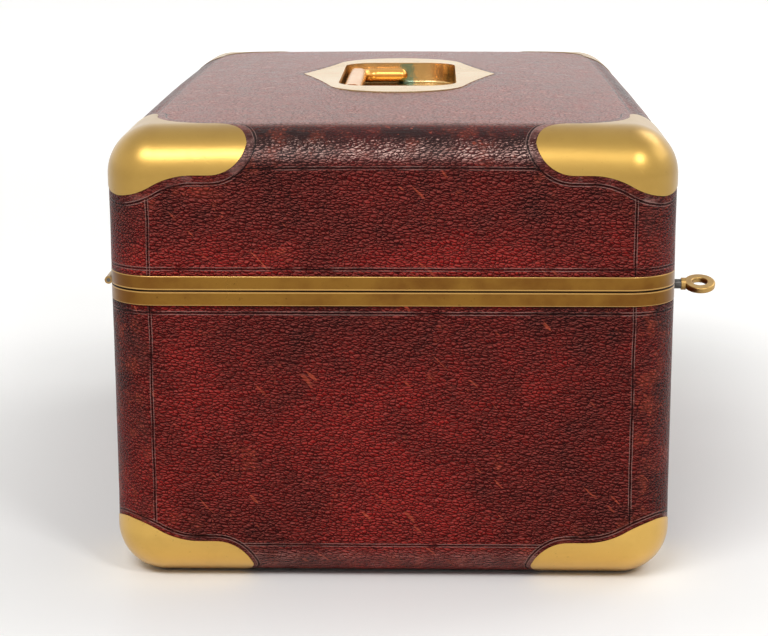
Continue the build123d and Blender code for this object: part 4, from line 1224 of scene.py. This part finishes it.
# %% Fabric materials
def velvet_material(name, deep, raised):
    """Velvet: its colour follows the nap, and a fine bump stands for the pile."""
    material, tree, shader, place = start_material(name, 0.85, sheen_weight=0.6,
                                                   sheen_roughness=0.4)
    nap = noise_at(tree, place, 30.0, 3.0, 0.6)
    pile = noise_at(tree, place, 2400.0, 2.0, 0.7)
    mixed = calc(tree, "MULTIPLY_ADD", pile, 0.4, calc(tree, "MULTIPLY", nap, 0.8))
    colour = blend_colour(tree, step(tree, mixed, 0.45, 0.75), deep, raised)
    tree.links.new(colour, shader["Base Color"])
    tree.links.new(bump(tree, pile, 0.0003, 0.5), shader["Normal"])
    return material


def silk_material(name, deep, raised):
    """Silk with fine ribs across it."""
    material, tree, shader, place = start_material(name, 0.38, sheen_weight=0.25,
                                                   sheen_roughness=0.3)
    ribs = add(tree, "ShaderNodeTexWave", {"Vector": place, "Scale": 520.0, "Distortion": 0.6},
               bands_direction="X").outputs["Fac"]
    cloud = noise_at(tree, place, 60.0, 3.0, 0.6)
    factor = calc(tree, "MULTIPLY_ADD", ribs, 0.3, calc(tree, "MULTIPLY", cloud, 0.8))
    colour = blend_colour(tree, step(tree, factor, 0.3, 0.8), deep, raised)
    tree.links.new(colour, shader["Base Color"])
    tree.links.new(bump(tree, ribs, 0.00008, 0.5), shader["Normal"])
    return material


velvet = velvet_material("velvet_finish", (0.085, 0.008, 0.014), (0.20, 0.020, 0.034))
silk = silk_material("silk_finish", (0.16, 0.016, 0.024), (0.34, 0.045, 0.055))
ribbon = silk_material("ribbon_finish", (0.22, 0.030, 0.030), (0.42, 0.080, 0.070))
print("made the fabrics")

# %% [markdown]
# ## Padded panels
# The lid and the floor of such a box have silk stretched over wadding and sewn down in diamonds.
# A flat grid stands for the silk. Cloth simulation blows it up from below while the border and the
# sewn lines are pinned, so it swells between them as real wadding does. Then the sheet is closed
# with a flat back. Each vertex may move only so far, which keeps the pad in its place.

# %% Sizes inside the box
CAVITY_X, CAVITY_Y = 165.3, 103.8
LINED_X = 163.3
PAD_X, PAD_Y = 162.3, 100.8
FLOOR_LOW, FLOOR_HIGH = 13.5, 20.5
LID_PAD_LOW, CEILING = 168.2, 176.2
CASE_LINING_TOP = 120.8
LID_LINING_LOW = 125.4
TRAY_WALL_X, TRAY_WALL_Y, TRAY_FLOOR = 154.5, 96.0, 84.0
DIAMOND = 34.0
print("pads of", 2 * PAD_X, "by", 2 * PAD_Y, "mm")


# %% Blowing up a sheet
CLOTH_FRAMES = 20


def swell(sheet, pinned, most):
    """Cloth simulation that blows a sheet up from below, between its pinned points."""
    start = [v.co.copy() for v in sheet.data.vertices]
    group = sheet.vertex_groups.new(name="sewn")
    group.add(pinned, 1.0, "REPLACE")
    cloth = sheet.modifiers.new("wadding", "CLOTH")
    cloth.settings.quality = 3
    cloth.settings.mass = 0.06
    cloth.settings.tension_stiffness = 1.2
    cloth.settings.compression_stiffness = 1.2
    cloth.settings.bending_stiffness = 0.2
    cloth.settings.use_pressure = True
    cloth.settings.uniform_pressure_force = 40.0
    cloth.settings.vertex_group_mass = "sewn"
    cloth.settings.effector_weights.gravity = 0.0
    cloth.collision_settings.use_collision = False
    cloth.point_cache.frame_start, cloth.point_cache.frame_end = 1, CLOTH_FRAMES
    for frame_number in range(1, CLOTH_FRAMES + 1):
        bpy.context.scene.frame_set(frame_number)
    risen = sheet.evaluated_get(bpy.context.evaluated_depsgraph_get()).data
    for vertex, old, new in zip(sheet.data.vertices, start, risen.vertices):
        move = new.co - old
        length = move.length
        if length > 1e-9:
            move *= most * math.tanh(length / most) / length
        vertex.co = old + move
    sheet.modifiers.remove(cloth)
    bpy.context.scene.frame_set(1)


print("cloth runs for", CLOTH_FRAMES, "frames")


# %% Closing the back of a pad
def close_back(pad, count_x, count_y, back):
    """Walls from the sheet's border down to the board, and a flat back of the same grid."""
    points = [tuple(v.co) for v in pad.data.vertices]
    faces = [tuple(p.vertices) for p in pad.data.polygons]
    upward = points[0][2] > back * MM
    total = len(points)
    points += [(x, y, back * MM) for x, y, _ in points]
    faces += [tuple(total + i for i in face[::-1]) for face in faces]
    border = [i * count_y for i in range(count_x)]
    border += [(count_x - 1) * count_y + j for j in range(1, count_y)]
    border += [i * count_y + count_y - 1 for i in range(count_x - 2, -1, -1)]
    border += [j for j in range(count_y - 2, 0, -1)]
    for i, here in enumerate(border):
        ahead = border[(i + 1) % len(border)]
        face = (ahead, here, total + here, total + ahead)
        faces.append(face if upward else face[::-1])
    closed = bpy.data.meshes.new(pad.name)
    closed.from_pydata(points, [], faces)
    closed.update()
    for polygon in closed.polygons:
        polygon.use_smooth = True
    pad.vertex_groups.clear()
    pad.data = closed


print("pads are closed at the back")

# %% A quilted panel
COUNT_X, COUNT_Y = 98, 61
HEM = 1.0
HEM_RUN = 3.5
ROOM_TO_SWELL = 3.2
SEAM_HALF, SEAM_DEPTH = 1.3, 1.2
MOST_SWELL = 3.0


def quilted_pad(name, back, front, body, node):
    """A padded panel: its back lies flat at one level and its silk swells towards the other."""
    way = 1.0 if front > back else -1.0
    crown = abs(front - back) - ROOM_TO_SWELL
    points, pinned = [], []
    for i, x in enumerate(np.linspace(-PAD_X, PAD_X, COUNT_X)):
        for j, y in enumerate(np.linspace(-PAD_Y, PAD_Y, COUNT_Y)):
            from_edge = min(PAD_X - abs(x), PAD_Y - abs(y))
            height = HEM + (crown - HEM) * (1 - math.exp(-from_edge / HEM_RUN))
            seams = [((x + y) / DIAMOND + 0.5) % 1 - 0.5, ((x - y) / DIAMOND + 0.5) % 1 - 0.5]
            from_seam = min(abs(v) for v in seams) * DIAMOND / math.sqrt(2)
            sewn = from_seam < SEAM_HALF
            if i in (0, COUNT_X - 1) or j in (0, COUNT_Y - 1) or sewn:
                pinned.append(len(points))
            if sewn and from_edge > 3:
                height -= SEAM_DEPTH * (1 - from_seam / SEAM_HALF)
            points.append((x * MM, y * MM, (back + way * height) * MM))
    faces = []
    for i in range(COUNT_X - 1):
        for j in range(COUNT_Y - 1):
            corner = i * COUNT_Y + j
            face = (corner, corner + COUNT_Y, corner + COUNT_Y + 1, corner + 1)
            faces.append(face if way > 0 else face[::-1])
    pad = mesh_object(name, points, faces)
    swell(pad, pinned, MOST_SWELL * MM)
    risen = max(abs(v.co.z / MM - back) for v in pad.data.vertices)
    print(name, "swells to", round(risen, 2), "mm")
    close_back(pad, COUNT_X, COUNT_Y, back)
    finer = pad.modifiers.new("finer", "SUBSURF")
    finer.levels = finer.render_levels = 1
    add_piece(pad, body, "silk", silk, node)
    return pad


floor_pad = quilted_pad("floor_pad_quilt", FLOOR_LOW, FLOOR_HIGH, "case", "case_floor_pad")
quilted_pad("lid_pad_quilt", CEILING, LID_PAD_LOW, "lid", "lid_pad")
print("pads of", len(floor_pad.data.polygons), "faces each")

# %% [markdown]
# ## The wall linings
# Round the inside walls runs velvet over thin card, with a soft rolled edge at the seam. A small
# profile, rounded at its top and bottom, is carried round a rectangle with slightly rounded
# corners. A slow waviness keeps it from looking like a machined frame.


# %% A path round the inside walls
def wall_path(half_x, half_y, radius, spacing=4.0, arc_steps=5):
    """Points round a rectangle with rounded corners, with their outward directions."""
    path = []
    for turn in range(4):
        a = math.pi / 2 * turn
        run = (half_y if turn % 2 == 0 else half_x) - radius
        off = (half_x if turn % 2 == 0 else half_y) - radius
        along = Vector((-math.sin(a), math.cos(a)))
        out = Vector((math.cos(a), math.sin(a)))
        steps = round(2 * run / spacing)
        for i in range(steps):
            place = out * off + along * (-run + 2 * run * i / steps)
            path.append((place, out))
        for i in range(arc_steps):
            b = a + math.pi / 2 * i / arc_steps
            path.append((out * off + along * run, Vector((math.cos(b), math.sin(b)))))
    return path


print("path of", len(wall_path(CAVITY_X, CAVITY_Y, 3.0)), "points")


# %% Velvet linings
LINING_RADIUS = 3.0
ROLL_RISE = 0.9
ROLL_STEPS = 6
LINING_ROWS = 12
WAVINESS = 0.22


def lining_profile(low, high, thick):
    """The lining's section: up its back, over a soft roll, down its face and under."""
    half = thick / 2
    profile = [(0.0, low), (0.0, high - 0.3)]
    for i in range(1, ROLL_STEPS + 1):
        turn = math.pi * i / ROLL_STEPS
        level = high - ROLL_RISE + ROLL_RISE * math.sin(turn)
        profile.append((half - half * math.cos(turn), level))
    fall = high - low - 2 * ROLL_RISE
    for i in range(1, LINING_ROWS + 1):
        profile.append((thick, high - ROLL_RISE - fall * i / LINING_ROWS))
    for i in range(1, ROLL_STEPS):
        turn = math.pi * i / ROLL_STEPS
        level = low + ROLL_RISE - ROLL_RISE * math.sin(turn)
        profile.append((half + half * math.cos(turn), level))
    return profile


def velvet_lining(name, low, high, body, node):
    """Velvet over card round the inside walls, between two levels."""
    path = wall_path(CAVITY_X - 0.05, CAVITY_Y - 0.05, LINING_RADIUS)
    thick = CAVITY_X - LINED_X
    profile = lining_profile(low, high, thick)
    points, faces = [], []
    for place, out in path:
        for inset, z in profile:
            wave = 0.0
            if inset > thick * 0.9:
                wave = WAVINESS * noise.noise(Vector((place.x * 0.03, place.y * 0.03, z * 0.05)))
            spot = place + out * (LINING_RADIUS - inset * 0.97 + wave)
            points.append((spot.x * MM, spot.y * MM, z * MM))
    size, count = len(profile), len(path)
    for i in range(count):
        for k in range(size):
            a, b = i * size + k, i * size + (k + 1) % size
            c, d = ((i + 1) % count) * size + (k + 1) % size, ((i + 1) % count) * size + k
            faces.append((a, d, c, b))
    lining = mesh_object(name, points, faces)
    add_piece(lining, body, "velvet", velvet, node)
    return lining


case_lining = velvet_lining("case_wall_velvet", FLOOR_LOW, CASE_LINING_TOP, "case",
                            "case_side_lining")
velvet_lining("lid_wall_velvet", LID_LINING_LOW, CEILING, "lid", "lid_side_lining")
print("linings of", len(case_lining.data.polygons), "faces each")

# %% [markdown]
# ## The ring rolls
# Rings sit between five soft rolls. One rule makes them all: a rounded profile swept along a
# line, with its ends drawn in, and repeated across the tray. Geometry Nodes suit a rule that
# repeats. The tree has named inputs, and its noise has a fixed seed, so each run is the same.


# %% One roll, from a profile and a line
def roll_section(made, given):
    """The rounded outline of a roll."""
    outline = add(made, "GeometryNodeCurvePrimitiveQuadrilateral",
                  {"Width": given["Width"], "Height": given["Height"]}, mode="RECTANGLE")
    rounded = add(made, "GeometryNodeFilletCurve",
                  {"Curve": outline.outputs[0], "Radius": given["Rounding"], "Count": 6,
                   "Limit Radius": True}, mode="POLY")
    return rounded.outputs[0]


def one_roll(made, given):
    """A roll along X, drawn in at both ends."""
    half = calc(made, "MULTIPLY", given["Length"], 0.5)
    start = add(made, "ShaderNodeCombineXYZ", {"X": calc(made, "MULTIPLY", half, -1.0)}).outputs[0]
    end = add(made, "ShaderNodeCombineXYZ", {"X": half}).outputs[0]
    line = add(made, "GeometryNodeCurvePrimitiveLine", {"Start": start, "End": end}).outputs[0]
    points = add(made, "GeometryNodeResampleCurve", {"Curve": line, "Count": 160}).outputs[0]
    along = made.nodes.new("GeometryNodeSplineParameter").outputs["Factor"]
    from_end = calc(made, "MINIMUM", along, calc(made, "SUBTRACT", 1.0, along))
    drawn = calc(made, "POWER", calc(made, "MULTIPLY_ADD", from_end, 60.0, 0.02, clamp=True), 0.35)
    thin = add(made, "GeometryNodeSetCurveRadius", {"Curve": points, "Radius": drawn}).outputs[0]
    swept = add(made, "GeometryNodeCurveToMesh",
                {"Curve": thin, "Profile Curve": roll_section(made, given), "Fill Caps": True})
    if "Scale" in swept.inputs:
        made.links.new(drawn, swept.inputs["Scale"])
    return swept.outputs[0]


print("roll helpers ready")


# %% A row of rolls
ROLL_INPUTS = (("Count", "Int"), ("Spacing", "Float"), ("Length", "Float"), ("Width", "Float"),
               ("Height", "Float"), ("Rounding", "Float"), ("First", "Vector"),
               ("Unevenness", "Float"), ("Seed", "Float"), ("Finish", "Material"))


def roll_tree():
    """A node tree that makes a row of soft rolls."""
    made = bpy.data.node_groups.new("soft_rolls", "GeometryNodeTree")
    made.interface.new_socket("Geometry", in_out="OUTPUT", socket_type="NodeSocketGeometry")
    for socket, kind in ROLL_INPUTS:
        made.interface.new_socket(socket, in_out="INPUT", socket_type="NodeSocket" + kind)
    given = made.nodes.new("NodeGroupInput").outputs
    result = made.nodes.new("NodeGroupOutput").inputs
    pitch = add(made, "ShaderNodeCombineXYZ", {"Y": given["Spacing"]}).outputs[0]
    row = add(made, "GeometryNodeMeshLine", {"Count": given["Count"], "Offset": pitch,
                                             "Start Location": given["First"]}, mode="OFFSET")
    copies = add(made, "GeometryNodeInstanceOnPoints",
                 {"Points": row.outputs[0], "Instance": one_roll(made, given)}).outputs[0]
    real = add(made, "GeometryNodeRealizeInstances", {0: copies}).outputs[0]
    bumps = add(made, "ShaderNodeTexNoise", {"Scale": 55.0, "Detail": 2.0, "W": given["Seed"]},
                noise_dimensions="4D").outputs[0]
    push = calc(made, "MULTIPLY", calc(made, "SUBTRACT", bumps, 0.5), given["Unevenness"])
    outward = made.nodes.new("GeometryNodeInputNormal").outputs[0]
    shift = vector_calc(made, "SCALE", outward, scale=push)
    uneven = add(made, "GeometryNodeSetPosition", {"Geometry": real, "Offset": shift}).outputs[0]
    soft = add(made, "GeometryNodeSetShadeSmooth", {"Geometry": uneven}).outputs[0]
    covered = add(made, "GeometryNodeSetMaterial",
                  {"Geometry": soft, "Material": given["Finish"]}).outputs[0]
    made.links.new(covered, result[0])
    return made


def from_tree(name, tree, values):
    """A plain mesh object from a Geometry Nodes tree and the values of its named inputs."""
    holder = bpy.data.objects.new(name, bpy.data.meshes.new(name + "_start"))
    bpy.context.scene.collection.objects.link(holder)
    nodes_on = holder.modifiers.new("rule", "NODES")
    nodes_on.node_group = tree
    for item in tree.interface.items_tree:
        if item.in_out == "INPUT":
            nodes_on[item.identifier] = values[item.name]
    make_plain(holder, name)
    return holder


print("roll tree has", len(ROLL_INPUTS), "named inputs")

# %% The five ring rolls
ROLL_PITCH = 13.2
FIRST_ROLL_RISE = 6.7
first_roll = (0.0, (-TRAY_WALL_Y + ROLL_PITCH / 2) * MM, (TRAY_FLOOR + FIRST_ROLL_RISE) * MM)
rolls = from_tree("ring_roll_row", roll_tree(), {
    "Count": 5, "Spacing": ROLL_PITCH * MM, "Length": 306.5 * MM, "Width": 11.6 * MM,
    "Height": 12.8 * MM, "Rounding": 5.0 * MM, "First": first_roll, "Unevenness": 0.8 * MM,
    "Seed": 3.0, "Finish": velvet})
add_piece(rolls, "tray", "velvet", velvet, "ring_rolls")
box = [[round(c / MM, 1) for c in corner] for corner in (rolls.bound_box[0], rolls.bound_box[6])]
print("rolls fill", box, "with", len(rolls.data.polygons), "faces")

# %% [markdown]
# ## The lifting tabs
# A short ribbon, folded double, hangs inside each end of the tray to lift it by. It is laid as a
# strip along its real path: up the wall, over in a small loop, and down again. Solidify gives it
# a ribbon's thickness. The real length of that path is the ribbon's flat length.


# %% Ribbon tabs
TAB_HALF, TAB_ROWS = 9.0, 12
TAB_FOOT, TAB_RISE, TAB_FOLD = 94.2, 20.6, 114.8
TAB_THICKNESS = 0.35


def tab_path():
    """The ribbon's path, as distance from the tray's end wall and level."""
    path = [(0.30, TAB_FOOT + TAB_RISE * i / 14) for i in range(15)]
    path += [(0.95 - 0.65 * math.cos(math.pi * i / 8), TAB_FOLD + 0.75 * math.sin(math.pi * i / 8))
             for i in range(1, 8)]
    path += [(1.60 + 0.9 * math.sin(math.pi * i / 14), TAB_FOLD - TAB_RISE * i / 14)
             for i in range(15)]
    return path


def ribbon_tab(name, side):
    """One folded ribbon at an end of the tray; returns its flat length."""
    path = tab_path()
    points, faces = [], []
    for off, z in path:
        for j in range(TAB_ROWS + 1):
            y = -TAB_HALF + 2 * TAB_HALF * j / TAB_ROWS
            sway = 0.12 * math.sin(y * 0.7 + z * 0.25) * (off > 1.5)
            points.append((side * (TRAY_WALL_X - off - sway) * MM, y * MM, z * MM))
    for i in range(len(path) - 1):
        for j in range(TAB_ROWS):
            corner = i * (TAB_ROWS + 1) + j
            face = (corner, corner + 1, corner + TAB_ROWS + 2, corner + TAB_ROWS + 1)
            faces.append(face if side > 0 else face[::-1])
    tab = mesh_object(name, points, faces)
    thick = tab.modifiers.new("ribbon", "SOLIDIFY")
    thick.thickness, thick.offset = TAB_THICKNESS * MM, 0.0
    length = sum(math.dist(a, b) for a, b in zip(path[:-1], path[1:]))
    add_piece(tab, "tray", "ribbon", ribbon, "tray_tabs")
    return length


tab_length = ribbon_tab("lifting_tab_left", -1)
ribbon_tab("lifting_tab_right", 1)
print("ribbons of", round(tab_length, 1), "mm")

# %% [markdown]
# ## The pieces that keep their solids
# Brass, steel, wood, and the plain parts of the leather and velvet need no new shape. The frame's
# record names a slot for every node, and each slot has its finish.

# %% Dress the nodes that keep their solids
finish_of_slot = {
    "leather": base_leather, "base_leather": base_leather, "corner_brass": corner_brass,
    "rim_brass": rim_brass, "plate_brass": plate_brass, "bail_brass": bail_brass,
    "hinge_brass": hinge_brass, "lock_brass": lock_brass, "lock_steel": lock_steel,
    "key_steel": key_steel, "key_brass": key_brass, "screw_brass": screw_brass,
    "carcass_wood": carcass_wood, "velvet": velvet, "silk": silk, "ribbon": ribbon,
}
for part in frame["record"]["subparts"]:
    mesh = nodes[part["node"]].data
    mesh.materials.clear()
    mesh.materials.append(finish_of_slot[part["material_slot"]])

# %% [markdown]
# ## The studio
# The box stands on a white floor that runs up into a white backdrop, in soft light from above.
# Rays from the camera see the floor a little brighter than lamps alone make it, which keeps the
# paper white without more light on the box. Gloss and glass rays see the same. That added
# brightness fades out towards the box's foot, so the paper close round it is left darker, a
# painted shade.


# %% Floor and backdrop
ARC_CENTRE, ARC_RADIUS = 3.2, 1.8
FLOOR_RINGS = (0.02, 0.3, 0.8, 1.5, 2.4, ARC_CENTRE)
RISE_STEPS, SEGMENTS = 12, 96


def studio_material():
    """White paper seen a little brighter than it is lit, but darker close round the box: painted
    shade.
    """
    material, tree, shader, place = start_material("paper_finish", 0.5, specular_ior_level=0.2)
    rays = tree.nodes.new("ShaderNodeLightPath").outputs
    away = vector_calc(tree, "ABSOLUTE", place)
    away = vector_calc(tree, "SUBTRACT", away, (HALF_LENGTH * MM, HALF_WIDTH * MM, 0.0))
    away = vector_calc(tree, "MAXIMUM", away, (0.0, 0.0, 0.0))
    spread = vector_calc(tree, "LENGTH", away)
    level = coordinate(tree, place, "Z")
    shader["Base Color"].default_value = (0.86, 0.855, 0.845, 1.0)
    seen = calc(tree, "MAXIMUM", rays["Is Camera Ray"], rays["Is Glossy Ray"])
    seen = calc(tree, "MAXIMUM", seen, rays["Is Transmission Ray"])
    # painted shade round the box: no added brightness within 1 cm of its foot, full at 20 cm
    near_glow = calc(tree, "MULTIPLY_ADD", step(tree, spread, 0.01, 0.20), 0.24, 0.0)
    paper_glow = calc(tree, "MULTIPLY_ADD", step(tree, spread, 0.2, 2.0), 0.26, near_glow)
    wall_glow = calc(tree, "MULTIPLY", step(tree, level, 0.1, 0.6), 0.35)
    glow = calc(tree, "MULTIPLY", seen, calc(tree, "ADD", paper_glow, wall_glow))
    colour = blend_colour(tree, glow, (0.0, 0.0, 0.0), (1.0, 0.996, 0.985))
    tree.links.new(colour, shader["Emission Color"])
    shader["Emission Strength"].default_value = 1.0
    return material


def studio_sweep():
    """A floor with a curved rise on every side, wide enough for views from all round."""
    rings = [(radius, 0.0) for radius in FLOOR_RINGS]
    for i in range(1, RISE_STEPS + 1):
        angle = math.pi / 2 * i / RISE_STEPS
        rings.append((ARC_CENTRE + ARC_RADIUS * math.sin(angle),
                      ARC_RADIUS - ARC_RADIUS * math.cos(angle)))
    rings.append((ARC_CENTRE + ARC_RADIUS, 4.0))
    points, faces = [], []
    for radius, z in rings:
        for j in range(SEGMENTS):
            turn = 2 * math.pi * j / SEGMENTS
            points.append((radius * math.cos(turn), radius * math.sin(turn), z))
    for i in range(len(rings) - 1):
        for j in range(SEGMENTS):
            low, high, k = i * SEGMENTS, (i + 1) * SEGMENTS, (j + 1) % SEGMENTS
            faces.append((low + j, high + j, high + k, low + k))
    faces.append(tuple(range(SEGMENTS)))
    paper = mesh_object("studio_paper", points, faces)
    paper.data.materials.append(studio_material())
    return paper


print("paper sweep of", len(studio_sweep().data.polygons), "faces")

# %% [markdown]
# ## Lamps and world
# A broad soft lamp high before the photographed end gives the light of a window, and a small one
# beside it picks out the corner at the picture's right. One lamp at the front and one beyond the
# far end lift the other sides. The world is white to the camera and in reflections, and dim as a
# light, so that the box keeps its shades.


# %% Lamps and world
def soft_lamp(name, place, aim, width, height, watts):
    """A rectangular lamp at a place, turned towards its aim."""
    data = bpy.data.lights.new(name, "AREA")
    data.shape = "RECTANGLE"
    data.size, data.size_y, data.energy = width, height, watts
    lamp = bpy.data.objects.new(name, data)
    bpy.context.scene.collection.objects.link(lamp)
    lamp.location = place
    lamp.rotation_mode = "QUATERNION"
    lamp.rotation_quaternion = (Vector(aim) - Vector(place)).to_track_quat("-Z", "Y")


soft_lamp("key_lamp", (-1.22, 0.56, 1.52), (0, 0, 0.1), 1.1, 0.50, 20.0)
soft_lamp("spot_lamp", (-1.22, -0.74, 1.195), (-0.165, -0.103, 0.175), 0.34, 0.34, 7.5)
soft_lamp("right_lamp", (0.25, -1.7, 1.25), (0, 0, 0.1), 1.3, 0.9, 5.0)
soft_lamp("back_lamp", (1.2, -1.5, 2.1), (0, 0, 0.1), 1.2, 1.0, 12.0)

WORLD_LIGHT = 0.42
world = bpy.data.worlds.new("studio_air")
world.use_nodes = True
tree = world.node_tree
rays = tree.nodes.new("ShaderNodeLightPath").outputs
air = tree.nodes["Background"]
seen = calc(tree, "MAXIMUM", rays["Is Camera Ray"], rays["Is Transmission Ray"])
seen = calc(tree, "MAXIMUM", seen, rays["Is Glossy Ray"])
strength = calc(tree, "MAXIMUM", seen, WORLD_LIGHT)
tree.links.new(strength, air.inputs["Strength"])
air.inputs["Color"].default_value = (1.0, 0.995, 0.985, 1.0)
bpy.context.scene.world = world
print("studio lit")
